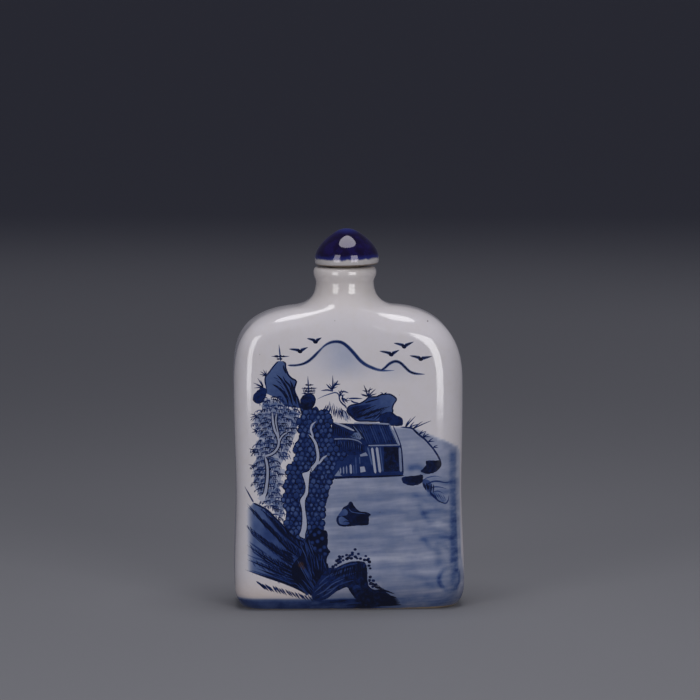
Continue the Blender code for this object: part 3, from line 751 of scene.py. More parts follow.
def paint_hut(art):
    """A thatched hut: slanting roofs with pale ridges, posts, a dark doorway and a low wall."""
    art.fill((-3.8, 40.1, 0.4, 39.9, 3.4, 39.8, 4.2, 36.4, 3.5, 33.4, -0.4, 33.2, -3.2, 33.9, -3.8, 36.8), DARK, 0.9,
        covers=True)
    hatch(art, (0.4, 39.7, 3.2, 39.6), (2.4, 36.4, 4, 36), 6, 0.24, 0.62, seed=2, scatter=0.05, taper=(0.1, 0.3))
    for start, end, width in (((0.7, 39.5), (2.9, 36.6), 0.2), ((1.5, 39.4), (3.4, 36.8), 0.18),
            ((2.3, 39.3), (3.7, 37.0), 0.16)):
        art.line((start, end), width, 0.5, covers=True)
    art.fill((0.1, 37.2, 1, 38, 1.9, 38, 2.6, 37, 2.2, 36.5, 0.6, 36.9), 0.6, 0.36, along=(1, 0.2), covers=True)
    hatch(art, (0.4, 37.8, 2.2, 37.6), (0.9, 36.9, 2.6, 36.7), 5, 0.16, DEEP, seed=5, scatter=0.05)
    hatch(art, (-3.5, 39.7, -1.4, 38.9, 0.4, 37.6), (-3.4, 37.2, -1.2, 37, 1.2, 36.9), 11, 0.22, 0.98, seed=7,
        scatter=0.1)
    hatch(art, (-3.3, 36.3, 0.2, 36.2, 2.4, 35.4), (-3, 34.4, 0.2, 34, 2.6, 33.7), 14, 0.2, 0.98, seed=8, scatter=0.1)
    hatch(art, (-3.2, 36.3, 0.2, 36.2, 2.2, 35.4), (-3, 35, 0.2, 34.8, 2.3, 34.2), 9, 0.14, 0.7, seed=9, scatter=0.2,
        covers=True)
    art.line((-3.5, 40.25, -2.4, 39.85, -0.8, 39.2, 1, 38.35), (0.3, 0.38, 0.42, 0.3), 0.2, taper=(0.15, 0.1),
        covers=True)
    art.line((-3.4, 36.65, -1.4, 36.7, 0.4, 36.6, 1.9, 36.15, 2.6, 35.5), (0.28, 0.24, 0.26, 0.26), 0.38,
        taper=(0.05, 0.2), covers=True)
    roof = (0.9, 39.9, 8.4, 39.7, 9.2, 38.2, 10.3, 35.3, 3.6, 35.3, 3.2, 36.6, 2.4, 38.2)
    art.fill(roof, 0.9, DARK, along=(1, 0), covers=True)
    for i in range(13):
        x = 2.2 + 0.5 * i
        art.line(((x, 39.5), (x + 0.9, 37.2), (x + 1.5, 35.6)), 0.17 + 0.05 * (i % 3), 0.72 + 0.05 * (i % 4),
            taper=(0.1, 0.4), covers=True)
    art.line((0.8, 40, 4, 40, 8.4, 39.75), 0.3, 0.26, taper=(0.05, 0.05), covers=True)
    art.line((8.35, 39.7, 9, 38.2, 9.7, 36.6, 10.2, 35.4), 0.3, 0.34, taper=(0.05, 0.1), covers=True)
    wall = (3.2, 35.2, 10.8, 35.2, 11.1, 32, 11.2, 28.7, -4.8, 28.4, -4.4, 33.8, -0.4, 33.2, 3.2, 33.4)
    art.fill(wall, 0.84, DEEP, along=(1, 0), covers=True)
    art.line((3.9, 35.2, 7, 35.25, 10.3, 35.3), 0.26, 0.34, taper=(0.1, 0.05), covers=True)
    art.fill((7.1, 34.9, 10.2, 34.9, 10.3, 29.7, 7.2, 29.6), 0.97, 0.95, covers=True)
    art.lines((((4.65, 34.8, 5.35, 29.3), 0.5, 0.16), ((5.65, 34.9, 6.35, 29.4), 0.55, 0.2),
        ((6.35, 34.9, 6.95, 29.6), 0.22, 0.62), ((10.5, 34.8, 10.75, 29.5), 0.5, 0.36),
        ((3.75, 34.9, 4.7, 31), 0.34, 0.56), ((2, 32.9, 2.1, 31.2), 0.2, 0.62), ((1.2, 32.9, 1.3, 29.2), 0.22, 0.66),
        ((-2.05, 30.6, -2, 29.2), 0.3, 0.32), ((-1.4, 30.8, -1.35, 29.2), 0.26, 0.36),
        ((-0.75, 31, -0.7, 29.2), 0.26, 0.36), ((0.1, 31.3, 0.2, 29.2), 0.46, 0.22),
        ((0.75, 31.2, 0.8, 29.2), 0.18, 0.6)), taper=(0.04, 0.04), covers=True)
    art.fill((2.1, 30.7, 3, 30.8, 3.3, 29.7, 2.2, 29.5), 0.2, covers=True)
    art.fill((2.1, 33.3, 3.3, 33.8, 3.8, 33.1, 2.2, 32.9), 0.3, covers=True)
    art.fill((-3.3, 28.8, -2.4, 30, -2, 29, -1.6, 28.8), 0.34, covers=True)
    art.line((9.1, 39.5, 10.2, 36.8, 10.85, 34.6, 11.1, 31.8, 11.2, 29), 0.26, 0.84, taper=(0.1, 0.05))
    art.line((-3.6, 28.3, 0, 28.5, 5, 28.6, 11.4, 28.8), (0.4, 0.46, 0.44, 0.28), DARK, taper=(0.05, 0.05))


def paint_right_bank(art):
    """The pale spit of land, its grass, and the dark rocks in the shallows."""
    edge = through(10.6, 39.1, 12, 39, 13.2, 38.8, 13.9, 38.1, 14.9, 37.2, 15.8, 36.5, 16.7, 35.5, 17.6, 34.4,
        18.4, 33.2, 19, 32, 19.3, 31)
    art.brush(edge, (0.2, 0.4, 0.46, 0.4, 0.36, 0.4, 0.45), (0.8, 0.86, 0.9, 0.88, 0.86, 0.92, DARK),
        taper=(0.05, 0.1))
    fans(art, 0.3, 0.8, (11.7, 39, 12.9, 41, 13.9, 41.4, 12.3, 40.4), (13.3, 38.7, 15.4, 40.3, 17.2, 40.4),
        (14.6, 37.5, 15.5, 38.4, 16.1, 38.2), (15.4, 36.9, 16.1, 38.2, 16.8, 37.6, 17, 37),
        (16.5, 35.9, 17.6, 36.7, 17.9, 36), (12.6, 39, 13.6, 40.2, 14.4, 39.7), (17.5, 34.7, 18.6, 35.2, 18.7, 34.6))
    rocks = ((16, 31.9, 17.4, 31.9, 18.8, 32, 19.4, 31.2, 18.9, 30.2, 17.7, 29.3, 16.2, 29.1, 14.9, 29.6, 15.5, 30.4,
        16.1, 31), (10.8, 28, 11.6, 28.6, 13.4, 28.7, 15.2, 28.9, 15.4, 27.8, 14.9, 27, 13, 26.6, 11.5, 27))
    for i, points in enumerate(rocks):
        art.fill(loop(*points, ragged=0.07, seed=i), DARK, 0.97, along=(1, 0))
    lump = loop(15.2, 27.5, 16, 28, 17, 27.5, 17.3, 26.2, 16.7, 25.2, 15.9, 25.8, ragged=0.14, seed=8)
    art.fill(lump, 0.62, 0.4, along=(1.0, 0.0))
    for points, width, ink in (((15, 27.6, 16.4, 28.3, 18, 28.6, 19.4, 28.3), 0.3, 0.5),
            ((15.6, 26.4, 17, 27.3, 18.4, 27.5, 20, 27.2, 21.6, 27.2), 0.42, 0.7),
            ((16.6, 25.8, 17.8, 26.3, 19.2, 26.2, 20.4, 25.8), 0.34, 0.56),
            ((16.9, 26.2, 17, 25, 17.9, 24.1, 18.8, 23.2, 20, 22.8), 0.56, 0.8),
            ((18.8, 23.2, 20.2, 22.7, 20.8, 23.5, 20.9, 24.5), 0.36, 0.62),
            ((17.4, 25.2, 18.6, 25.4, 19.8, 24.8), 0.3, 0.48)):
        art.line(points, (0.6 * width, width, 0.6 * width), ink, taper=(0.3, 0.6))
    hatch(art, (15.4, 27.3, 17.6, 26.8), (15.9, 25.7, 17.5, 25), 7, 0.34, 0.84, seed=2)
    hatch(art, (17.6, 25, 19.6, 24.6), (18.2, 23.9, 20.2, 23.3), 5, 0.26, 0.5, seed=4)


def paint_boat(art):
    """A covered boat, in a few dark dabs."""
    hull = loop(-2.9, 19.9, -2.9, 18.9, -2.2, 18.1, -0.6, 18, 1.4, 18.2, 3.6, 18.3, 3.9, 19.2, 3.9, 20.2, 4.4, 20.4,
        3.6, 21, 2.2, 21.2, 1.4, 21.7, 0.8, 22.4, 0.4, 23.2, -0.2, 23.3, -0.6, 22.6, -1.5, 22.1, -2.1, 21, step=0.35,
        ragged=0.03, seed=3)
    art.fill(hull, 0.92, 0.98, along=(1.0, -0.4))
    art.fill(loop(-2.5, 19.7, -2.3, 18.7, -1.4, 18.4, -0.4, 18.5, -0.2, 19, -1.2, 19.8, -1.9, 20.2), 0.55, 0.72,
        along=(1, 0), covers=True)
    art.fill(loop(-2.6, 20.3, -2.1, 21.1, -1.3, 21.8, -0.6, 21.3, -0.7, 20.5, -1.7, 20.3), 0.74, 0.6, along=(1, 0),
        covers=True)
    art.line((-1.6, 18.8, -1, 19.2, 0.6, 18.7, 2.8, 18.5), 0.22, DARK)
    art.line((-0.4, 22, 0.2, 21.2, 1.4, 20.9, 3.2, 20.7), 0.2, 0.66, covers=True)


SLOPE = pairs((  # the foreground slope, from its upper left round by the right; its wash is in wash_at
    -20.4, 23.1, -19.2, 22.5, -17.85, 21.8, -16.8, 20.9, -16, 20, -14.2, 18.2, -12.6, 16.4, -11.5, 15.5, -9.9, 14.8,
    -8.6, 14.2, -7.6, 13, -6, 9, -7.2, 4.4, -9.3, 3.4, -11.2, 4.7, -13.9, 5.9, -16.5, 6.8, -20, 8, -22.2, 8.7,
    -22.2, 12, -22.2, 17, -22.2, 21.5,
))


def paint_foreground(art):
    """The slope of combed strokes on the left, the dark rocks in the middle, and grass at its foot."""
    art.line((-22.3, 26.6, -21.4, 25, -20.4, 23.2), (0.16, 0.3, 0.36), 0.86, taper=(0.4, 0.05))
    art.line(SLOPE[:9], (0.36, 0.42, 0.4, 0.35), DARK, taper=(0.02, 0.1))
    ridges = (((-19.4, 22.1, -18, 20.9, -16.5, 19.3, -14.8, 17.4, -13.1, 15.7, -11.4, 14.1, -9.9, 12.8), 1.7),
        ((-21.8, 22.4, -20.9, 21.5, -19.7, 20.2, -17.9, 18.2, -15.7, 16, -13.9, 13.9, -12, 12.3, -10.7, 11.4), 2.1),
        ((-22.1, 18.2, -21.1, 17.1, -20.2, 16.2, -17.9, 14.3, -16, 12.8, -13.9, 11.4, -12, 10.2), 2.0),
        ((-21.9, 14.1, -20, 12.8, -17.9, 11.3, -15.2, 9.6, -12.5, 8.2), 1.6),
        ((-21.9, 11, -19.7, 10.1, -16.5, 8.7, -13.9, 7.5), 1.3),
        ((-22.3, 8.8, -20, 8, -16.5, 6.8, -13.9, 5.9, -11.2, 4.7, -9.3, 3.5), 0.8))
    for i, (ridge, reach) in enumerate(ridges):
        line = through(*ridge)
        growth = np.linspace(0.35, 1.0, len(line) - 3)[:, None]
        start = line[3:] + growth * (-0.45 * reach, 1.25 * reach)
        art.fill(np.vstack([line[3:], (0.4 * line[3:] + 0.6 * start)[::-1]]), 0.3, 0.5, along=(1.0, 0.0))
        art.brush(line, (0.12, 0.24, 0.34, 0.38, 0.34, 0.3), (0.8, 0.9, DARK), taper=(0.25, 0.1))
        count = round(length_along(line)[-1] / 0.5)
        hatch(art, start, line[3:] + (0.1, 0.0), count, 0.22, 0.84, seed=30 + i, scatter=0.2, bend=0.04,
            taper=(0.3, 0.05))
        below = (0.7, -1.1) if i < 5 else (0.3, -0.4)
        hatch(art, line[4:] + (-0.1, 0.1), line[4:] + below, count // 2, 0.22, 0.78, seed=50 + i, scatter=0.2)
        dice = np.random.default_rng(70 + i)
        for _ in range(9):
            first = dice.integers(2, len(line) // 2)
            lift = np.array([0.45, -1.0]) * dice.uniform(-1.6, 1.3 if i < 5 else 0.0)
            art.brush(line[first:first + len(line) // 2:2] + lift, 0.22, dice.uniform(0.45, 0.75), taper=(0.4, 0.5))
    shade = loop(-12.4, 9.6, -11.4, 11, -10.4, 12.2, -10.2, 13.6, -9.7, 14.9, -8.5, 16.6, -7.2, 17.9, -6.2, 17.4,
        -5, 17, -4.8, 15.2, -4.9, 13.6, -4.3, 12.6, -4.9, 11.7, -5.1, 10.5, -4.6, 9.3, -5.2, 6.8, -6.8, 4.6,
        -8.3, 3.2, -9.6, 4.4, -11.2, 5.4, -12.3, 7.4, ragged=0.08, seed=9)
    art.fill(shade, 0.9, 0.97, along=(0.6, 0.8))
    hatch(art, (-12, 11.6, -12.4, 8.4, -10.2, 5.2), (-14.4, 13.4, -15.4, 9.8, -13.2, 6), 15, 0.42, 0.88, seed=19,
        scatter=0.3, taper=(0.02, 0.8))
    for points in ((-12.4, 9.8, -11.2, 9.9, -10.2, 9, -9.6, 7.4, -10.4, 6, -11.9, 6.4, -12.6, 8),
            (-8.4, 15.6, -6.6, 16.8, -5.2, 16.2, -5.3, 13.8, -6.6, 13, -8.2, 13.8)):
        art.fill(loop(*points, ragged=0.1, seed=12), 0.99, 1.0)
    for start_line, end_line, count, width, ink, seed in (
            ((-9.8, 12.4, -5.8, 12), (-8.4, 7.8, -5.4, 8.4), 10, 0.24, 0.84, 27),
            ((-10.4, 14.6, -8.6, 15.2), (-9, 11.4, -7.6, 12.4), 6, 0.24, 0.78, 25),
            ((-11.6, 10.6, -8.4, 8.8), (-9.2, 6.6, -7, 6.4), 8, 0.22, 0.8, 28),
            ((-11.4, 6, -8.2, 7), (-8.8, 3.4, -7, 4.8), 8, 0.26, 0.82, 29),
            ((-8.6, 12, -5.6, 11.4), (-7.6, 5.4, -5.8, 6.6), 8, 0.3, 1.0, 26)):
        hatch(art, start_line, end_line, count, width, ink, seed=seed, scatter=0.4, taper=(0.3, 0.5), covers=True)
    for spot in pairs((-7.6, 16.3, -6.6, 16.8, -8.1, 14.6, -7, 14.9, -6, 15.5, -5.6, 13.6, -7.6, 13.4, -6.4, 13,
            -5.4, 12.2)):
        dot(art, spot, 0.46, 0.9, covers=True)
        dot(art, spot, 0.3, 0.78, covers=True, sides=6)
    rock = loop(-4.7, 9.2, -3.2, 9.2, -1.6, 10, 0, 10.5, 1.8, 10.6, 3.1, 10.2, 3.5, 8.4, 3.5, 6.6, 3.9, 5.1, 5, 4.5,
        6.9, 4.6, 7.4, 3.9, 8.4, 3.2, 9.2, 2.1, 9.6, 0.9, 6.4, 0.7, 3.4, 0.7, 1.5, 2, 0.5, 3.1, -0.3, 4.2, -0.8, 5,
        -2.2, 4.6, -3.4, 3.9, -4.6, 2.9, -5.8, 2.3, -7.8, 2.2, -8.3, 3.6, -7.2, 6, -5.6, 8.2, ragged=0.04, seed=6)
    art.fill(rock, 0.9, 1.0, along=(1.0, -0.5), covers=True)
    art.lines((((-7.4, 3.3, -5.6, 4.3, -3.8, 5.8, -1.4, 6.9), 0.26, 0.66),
        ((-7.8, 3.9, -6.4, 5.2, -4.8, 6.4), 0.24, 0.7), ((-6.2, 2.9, -4.6, 3.9, -3, 5.2), 0.26, 0.68),
        ((-6.8, 5.6, -5.4, 7, -3.6, 8.2), 0.24, 0.72), ((-5.2, 4.2, -3.4, 5, -1.6, 6.2), 0.22, 0.7),
        ((-4.4, 7.4, -2.2, 8.4, 0.6, 9.3), 0.5, 0.76), ((-4, 6.2, -1.6, 7.4, 1.2, 8.2), 0.44, 0.82),
        ((-2.8, 8.9, -0.6, 9.8, 1.4, 10.1), 0.36, 0.78), ((0.3, 4.6, 1.2, 5.2, 2, 5), 0.7, 0.86),
        ((-3.4, 5.2, -1.4, 6, 0.8, 6.6), 0.3, 0.8)), covers=True)
    hatch(art, (3.6, 6.2, 5.2, 4.6, 7.4, 4.2), (5.6, 5.6, 7.4, 4.4, 9.2, 3.4), 8, 0.34, 0.98, seed=23)
    hatch(art, (6.4, 3.6, 7.4, 1), (9.6, 2.7, 10.8, 1.1), 8, 0.46, 0.98, seed=24, taper=(0.1, 0.6))
    hatch(art, (-3.6, 9, 2.6, 10.2), (-4.6, 7.4, 2.4, 6.2), 16, 0.26, 0.98, seed=12)
    dice = np.random.default_rng(14)
    contour = through(-3.7, 9.2, -2.4, 10.1, -0.8, 10.9, 0.8, 11.2, 2.4, 10.9, 3.6, 10.4, 4.1, 8.9, step=0.62)
    for place in contour:
        for lift in (0.1, 0.85)[:1 + int(dice.random() < 0.6)]:
            dot(art, place + (dice.uniform(-0.2, 0.2), lift + dice.uniform(-0.1, 0.25)), dice.uniform(0.25, 0.34),
                DARK, stretch=1.25)
    for place in pairs((-2.4, 11.6, -2.95, 10.7, 0.35, 12.4, 0.95, 13.1, -0.2, 11.8, 4.1, 7.2, 4.75, 6.4, 3.95, 6.5,
            5.3, 5.6, 4.1, 5.7, 4.6, 5.1, 6, 4.9)):
        dot(art, place, dice.uniform(0.27, 0.36), DARK, stretch=1.2)
    art.line((-20, 6.4, -18.8, 5.5, -17.5, 4.4), (0.34, 0.5, 0.3), 0.86, taper=(0.1, 0.6))
    hatch(art, (-19.4, 6, -14.8, 4.9, -9.2, 3.3), (-18.1, 4.6, -13.6, 3.4, -8.1, 1.9), 16, 0.4, 0.88, seed=17,
        scatter=0.14, taper=(0.1, 0.6))


def paint_front(art):
    """Everything on the front, from the farthest things to the nearest."""
    for part in (paint_sky, paint_crag, paint_left_tree, paint_far_bank, paint_hut, paint_centre_tree,
            paint_right_bank, paint_boat, paint_foreground):
        part(art)


def paint_back(art):
    """A plainer view behind: two hills, birds, a bush on a rock, and grass by a strip of water."""
    art.line((-15, 44.4, -11.5, 45, -8.6, 47.2, -6, 49.4, -3.6, 48.6, -1.2, 46.4, 1.6, 45.2, 4.4, 46.2, 6.8, 47,
        9.2, 45.8, 12, 44.6, 14.6, 44.4), (0.2, 0.36, 0.5, 0.5, 0.36, 0.44, 0.4, 0.2),
        (0.8, 0.9, 0.86, 0.8, 0.7, 0.84, 0.8, 0.5), taper=(0.1, 0.15))
    birds(art, (7, 53.4, 9.2, 52.8, 11, 53.5), (11.6, 51.2, 13.6, 50.7, 15.4, 51.3),
        (3.4, 55.2, 5.2, 54.6, 6.8, 55.2))
    ridge = (-21.4, 17.4, -19, 18.2, -16.4, 17.4, -13.6, 15.6, -10.6, 14, -8, 12.2, -6.2, 9.8, -3.6, 8.2, -1.4, 5.8,
        0.6, 4.2)
    slope = loop(*ridge, -3, 3.6, -8, 3.4, -14, 3.5, -20, 3.8, -21.8, 6, -21.9, 12, ragged=0.05, seed=3)
    art.fill(slope, 0.4, 0.66, along=(0.8, -0.6), covers=True)
    for i, points in enumerate(((-21.6, 15.4, -18, 15, -13.4, 12.4, -9, 9.4),
            (-21.8, 11.4, -18.4, 10.8, -13.6, 8.6, -7.6, 6.2), (-21.6, 7.6, -16.4, 6.6, -10.4, 4.8))):
        line = through(*points)
        art.brush(line, (0.2, 0.5, 0.4), DARK, taper=(0.3, 0.2))
        hatch(art, line + (-0.6, 1.7), line, 22, 0.22, 0.82, seed=60 + i, taper=(0.4, 0.1))
    art.line(ridge, (0.2, 0.4, 0.34), DARK, taper=(0.2, 0.2))
    stone = loop(-7.6, 3.6, -6.6, 6.2, -4.6, 7.4, -2.2, 6.6, -0.6, 4.6, 1.6, 3.6, -2.4, 3.2, ragged=0.06, seed=6)
    art.fill(stone, 0.84, DARK, along=(1.0, -0.4), covers=True)
    hatch(art, (-5.6, 6.4, -2.4, 6.2), (-6.4, 4.2, -1.6, 4), 9, 0.22, 0.7, seed=71, covers=True)
    round_leaves(art, loop(-17.4, 18.4, -16.8, 21, -14.6, 22.4, -12.2, 21.6, -11, 19.4, -11.6, 16.8, -13.4, 15.4,
        -16, 16.6, ragged=0.06, seed=4), seed=5)
    spire(art, (-19.6, 23.4), (-19.5, 18.4), ((21.6, 0.8, 0.9), (20.6, 1.2, 1.3), (19.6, 1.5, 1.4)))
    fans(art, 0.32, DEEP, (-8.8, 12.8, -9.6, 15, -8.6, 15.6, -7.6, 14.8, -7, 13.9),
        (-4.4, 8.8, -4.6, 10.8, -3.6, 10.6, -3, 9.6))


# ================================================================ the washes, all round the bottle

WATER, BASE_BAND, BACK_WATER, SLOPE_WASH = 0.3, 0.78, 0.2, 0.56
RANGE_WASH, HUMP_WASH, EDGE_WASH = 0.13, 0.09, 0.46
WATER_STARTS, WATER_ENDS = -8.6, 24.5  # how far round the front's water runs
SHORE = pairs((  # the water's upper edge, from under the trees to the right edge
    -8.6, 0, -7.4, 28.4, 8.8, 28.8, 9.1, 39, 12.4, 38.9, 14.4, 38.4, 17, 37.2, 20, 36, 23, 34.4, 25, 33,
))
RIPPLES = (  # soft strokes in the water, most near the right edge: places, reach to each side, density
    ((13.4, 24.4, 15.8, 23.6, 18.2, 22.4), 0.8, 0.26), ((15.4, 20.7, 17.2, 21.3, 20.4, 21), 0.5, 0.26),
    ((14.4, 22.6, 15.6, 20.4, 17, 18.6), 0.6, 0.16), ((13.6, 17, 16.4, 17.4, 20.6, 16.6), 0.5, 0.26),
    ((15, 15.3, 18, 15.8, 21.2, 15.4), 0.45, 0.3), ((15.6, 15.2, 16.8, 13.4, 18.8, 12.3), 0.5, 0.2),
    ((16.6, 18.8, 18.6, 19.4, 21, 19), 0.45, 0.2), ((18.2, 13.2, 18.7, 11.6, 18.6, 10), 0.7, 0.2),
    ((21, 12.6, 19.8, 13.8, 18.4, 14.2), 0.5, 0.2), ((11.6, 8.2, 14.4, 7.2, 17.4, 4.8), 1.0, 0.1),
    ((-3, 20.9, 2, 20.3, 8, 21.2, 12, 20.6), 0.5, 0.12), ((0, 15.6, 5, 16.1, 11, 15.4), 0.5, 0.12),
    ((2, 24.6, 8, 25.2, 12, 24.6), 0.6, 0.12), ((5, 12.4, 9, 12.9, 14, 12.2), 0.5, 0.12),
    ((12.9, 30.3, 14.2, 30.5, 15.6, 29.9), 0.7, 0.5), ((16.4, 27.2, 18.4, 27.6, 21.2, 27), 0.6, 0.3),
    ((16.9, 26, 17.6, 24.4, 19.6, 23.2), 0.8, 0.36), ((18.4, 25.6, 20.4, 25.4), 0.5, 0.24),
    ((44.4, 12.2, 49.4, 12.7, 54, 12.2), 0.5, 0.2), ((50.6, 9.2, 55.6, 9.8, 60.6, 9.4), 0.5, 0.2))
CURL, CURL_RADIUS, CURL_WIDTH, CURL_WASH = (21.1, 6.5), 2.4, 0.46, 0.48  # a round ripple low on the right


def water_at(around, z):
    """Where the front's water lies, from 0 to 1: it runs a little further round at the foot."""
    shore = np.interp(around, *SHORE.T)
    end = WATER_ENDS + 2.4 * (1 - smoothstep(z, 4.0, 12.0))
    across = (around > WATER_STARTS) * (1 - smoothstep(around, end - 0.4, end + 0.3))
    return (1 - smoothstep(z, shore - 0.3, shore + 0.35)) * across


def back_water_at(around, z):
    """Where the water on the back lies, which fades towards both of its edges."""
    across = HALF_AROUND - np.abs(around)
    return (1 - smoothstep(z, 15.6, 16.6)) * (1 - smoothstep(across, 17.0, 21.5)) * smoothstep(z, 2.0, 3.4)


def water_wash(around, z):
    """The front's water, paler beyond its right edge and high up, deeper towards the foot."""
    water = WATER * water_at(around, z)
    water *= 1 - 0.3 * smoothstep(around, 22.8, 23.4)
    water *= 1 + 0.3 * (1 - smoothstep(z, 2.0, 9.0)) - 0.1 * smoothstep(z, 20.0, 28.0)
    return water


def back_wash(around, z):
    return BACK_WATER * back_water_at(around, z)


def band_wash(around, z):
    """The band round the foot, thin where the front's water runs down to it."""
    thin = smoothstep(around, 2.0, 9.0) * (1 - smoothstep(around, 23.0, 32.0))
    return BASE_BAND * (1 - smoothstep(z, 2.0, 2.9)) * (1 - 0.75 * thin)


def off_curl(around, z):
    """How far outside the line of the round ripple places lie."""
    return np.hypot(around - CURL[0], z - CURL[1]) - CURL_RADIUS


def edge_wash(around, z):
    """The upright band where the water ends on the right, fainter at both ends and inside the round ripple."""
    edge = EDGE_WASH * smoothstep(around, 20.7, 21.6) * (1 - smoothstep(around, 22.3, 23.2))
    edge *= smoothstep(34.6 - z, 0.0, 1.5) * (0.72 + 0.28 * smoothstep(26.0 - z, 0.0, 6.0)) * smoothstep(z, 3.0, 8.0)
    edge *= 1 - 0.5 * (1 - smoothstep(off_curl(around, z), -0.6, 0.0))
    return edge


def curl_wash(around, z):
    """The round ripple, strongest on its upper left."""
    line = CURL_WASH * np.exp(-((off_curl(around, z) / CURL_WIDTH) ** 2))
    return line * (0.84 + 0.16 * smoothstep(z - around, -18.0, -13.5))


def slope_wash(around, z):
    """The foreground slope, which starts softly at the left edge and is deeper further in."""
    slope = SLOPE_WASH * inside(SLOPE, np.column_stack([around, z])).astype(float)
    slope *= smoothstep(around, -22.0, -20.2) * (1 + 0.45 * smoothstep(around, -20.0, -14.0))
    return slope


def beside_ripples(around, z):
    """What the ripples leave of the white: 1 where there is none."""
    places = np.column_stack([around, z])
    left = np.ones(len(places))
    for points, reach, ink in RIPPLES:
        spots = pairs(points)
        near = np.all(np.abs(places - spots.mean(0)) < np.ptp(spots, axis=0) / 2 + 2 * reach + 1.0, axis=1)
        left[near] *= 1 - ink * np.exp(-((distance_to(through(*points, step=0.6), places[near]) / reach) ** 2))
    return left


def hill_wash(around, z):
    """The pale washes below the lines of the far hills, which fade downwards and to both sides."""
    density = np.zeros(len(z))
    for line, wash, low, middle, reach in ((RANGE_LINE, RANGE_WASH, 48.6, -0.6, 6.0),
            (HUMP_LINE, HUMP_WASH, 48.4, 9.6, 4.5)):
        top = np.interp(around, *through(*line).T, left=0.0, right=0.0)
        spread = np.exp(-(((around - middle) / reach) ** 2))
        density = np.maximum(density, wash * spread * smoothstep(z, low, 55.5) ** 0.5 * (z < top))
    return density


def wash_at(around, z):
    """Density of all the washes at places round the bottle."""
    left = beside_ripples(around, z)
    for wash in (water_wash, band_wash, edge_wash, curl_wash, slope_wash, back_wash):
        left *= 1 - wash(around, z)
    return np.maximum(1 - left, hill_wash(around, z))


def streaks_at(around, z):
    """How strongly the brush's level streaks show at places round the bottle."""
    return water_at(around, z) * (1 - 0.4 * smoothstep(z, 28.0, 30.0)) + back_water_at(around, z)


# ================================================================ the bottle's mesh

RING_POINTS = 2 * (FACE_COLUMNS + 1) + 2 * (SIDE_COLUMNS - 1)
BACK_START = FACE_COLUMNS + SIDE_COLUMNS  # the ring's first column on the back
ISLANDS = {  # where each part of the bottle lies on its bake map: left, right, bottom, top
    "front": (0.005, 0.60, 0.005, 0.995),
    "back": (0.615, 0.995, 0.45, 0.995),
    "right": (0.615, 0.72, 0.01, 0.435),
    "left": (0.735, 0.84, 0.01, 0.435),
    "shoulders": (0.855, 0.92, 0.01, 0.435),
    "foot": (0.935, 0.995, 0.01, 0.20),
    "inside": (0.935, 0.995, 0.22, 0.435),
}


def on_map(across, up, island):
    left, right, bottom, top = ISLANDS[island]
    return np.stack([left + (right - left) * across, bottom + (top - bottom) * up], axis=-1)


def inward(rim, shares):
    """Copies of a ring drawn in towards its middle, outermost first."""
    middle = rim.mean(0)
    return [middle + (rim - middle) * (share, share, 1.0) for share in shares]


def bottle_rings():
    """All rings, from the middle of the underside up the outside and down the hollow.

    Also returns their half widths, the numbers of the first and last ring beside the painted
    patches, and that of the last ring of the outside.
    """
    slope = np.linspace(0.0, 1.0, RECESS_RINGS)
    recess = [
        foot_ring(FOOT_RIM + RECESS_SLOPE * (1 - t), FOOT_RECESS * (1 - t**RECESS_POWER)) for t in slope
    ]
    edge = outer_ring(*FOOT_CURVE[0])
    rings = inward(recess[0], FLOOR_SHARES) + recess
    rings += [recess[-1] + (edge - recess[-1]) * t for t in np.linspace(0.0, 1.0, REST_RINGS)[1:]]
    first = len(rings)
    beside = respace(cut(SIDE_LINE, PATCH_LOW, PATCH_HIGH), ROW_STEP)
    shoulder = respace(cut(bezier(SHOULDER_CURVE), PATCH_HIGH, SHOULDER_CURVE[3][1]), SHOULDER_STEP)
    lip = respace(chain(NECK_CURVE, LIP_CURVE, LIP_ROUND), LIP_STEP)
    outline = np.vstack([beside, shoulder[1:], lip[1:]])
    rings += [outer_ring(*row) for row in outline]
    last, outside = first + len(beside) - 1, len(rings) - 1
    bore = respace(bezier(BORE_CURVE), LIP_STEP)
    curves = [bezier(curve) for curve in (CAVITY_THROAT, CAVITY_SHOULDER, CAVITY_FOOT)]
    hollow = respace(np.vstack([BORE_CURVE[3:], *curves]), INNER_STEP)
    rings += [inner_ring(*row) for row in np.vstack([bore, hollow[1:]])]
    rings += inward(rings[-1], FLOOR_SHARES[::-1])
    widths = [np.ptp(points[:, 0]) / 2 for points in rings]
    return [settle(points) for points in rings], widths, first, last, outside


def turns(half_width):
    """How far round the bottle a ring's points lie from the middle of the front, right positive."""
    edge = FACE_SHARE * half_width
    side = np.linspace(edge, HALF_AROUND - edge, SIDE_COLUMNS + 1)[1:-1]
    face = np.linspace(-edge, edge, FACE_COLUMNS + 1)
    return np.concatenate([face, side, round_back(face), -side[::-1]])


def round_back(across):
    """The same for points on the back."""
    return across + np.where(across > 0, -HALF_AROUND, HALF_AROUND)


def once_round(grid):
    """The entries along a grid's border, from its first corner."""
    return np.concatenate([grid[0, :-1], grid[:-1, -1], grid[-1, :0:-1], grid[:0:-1, 0]])


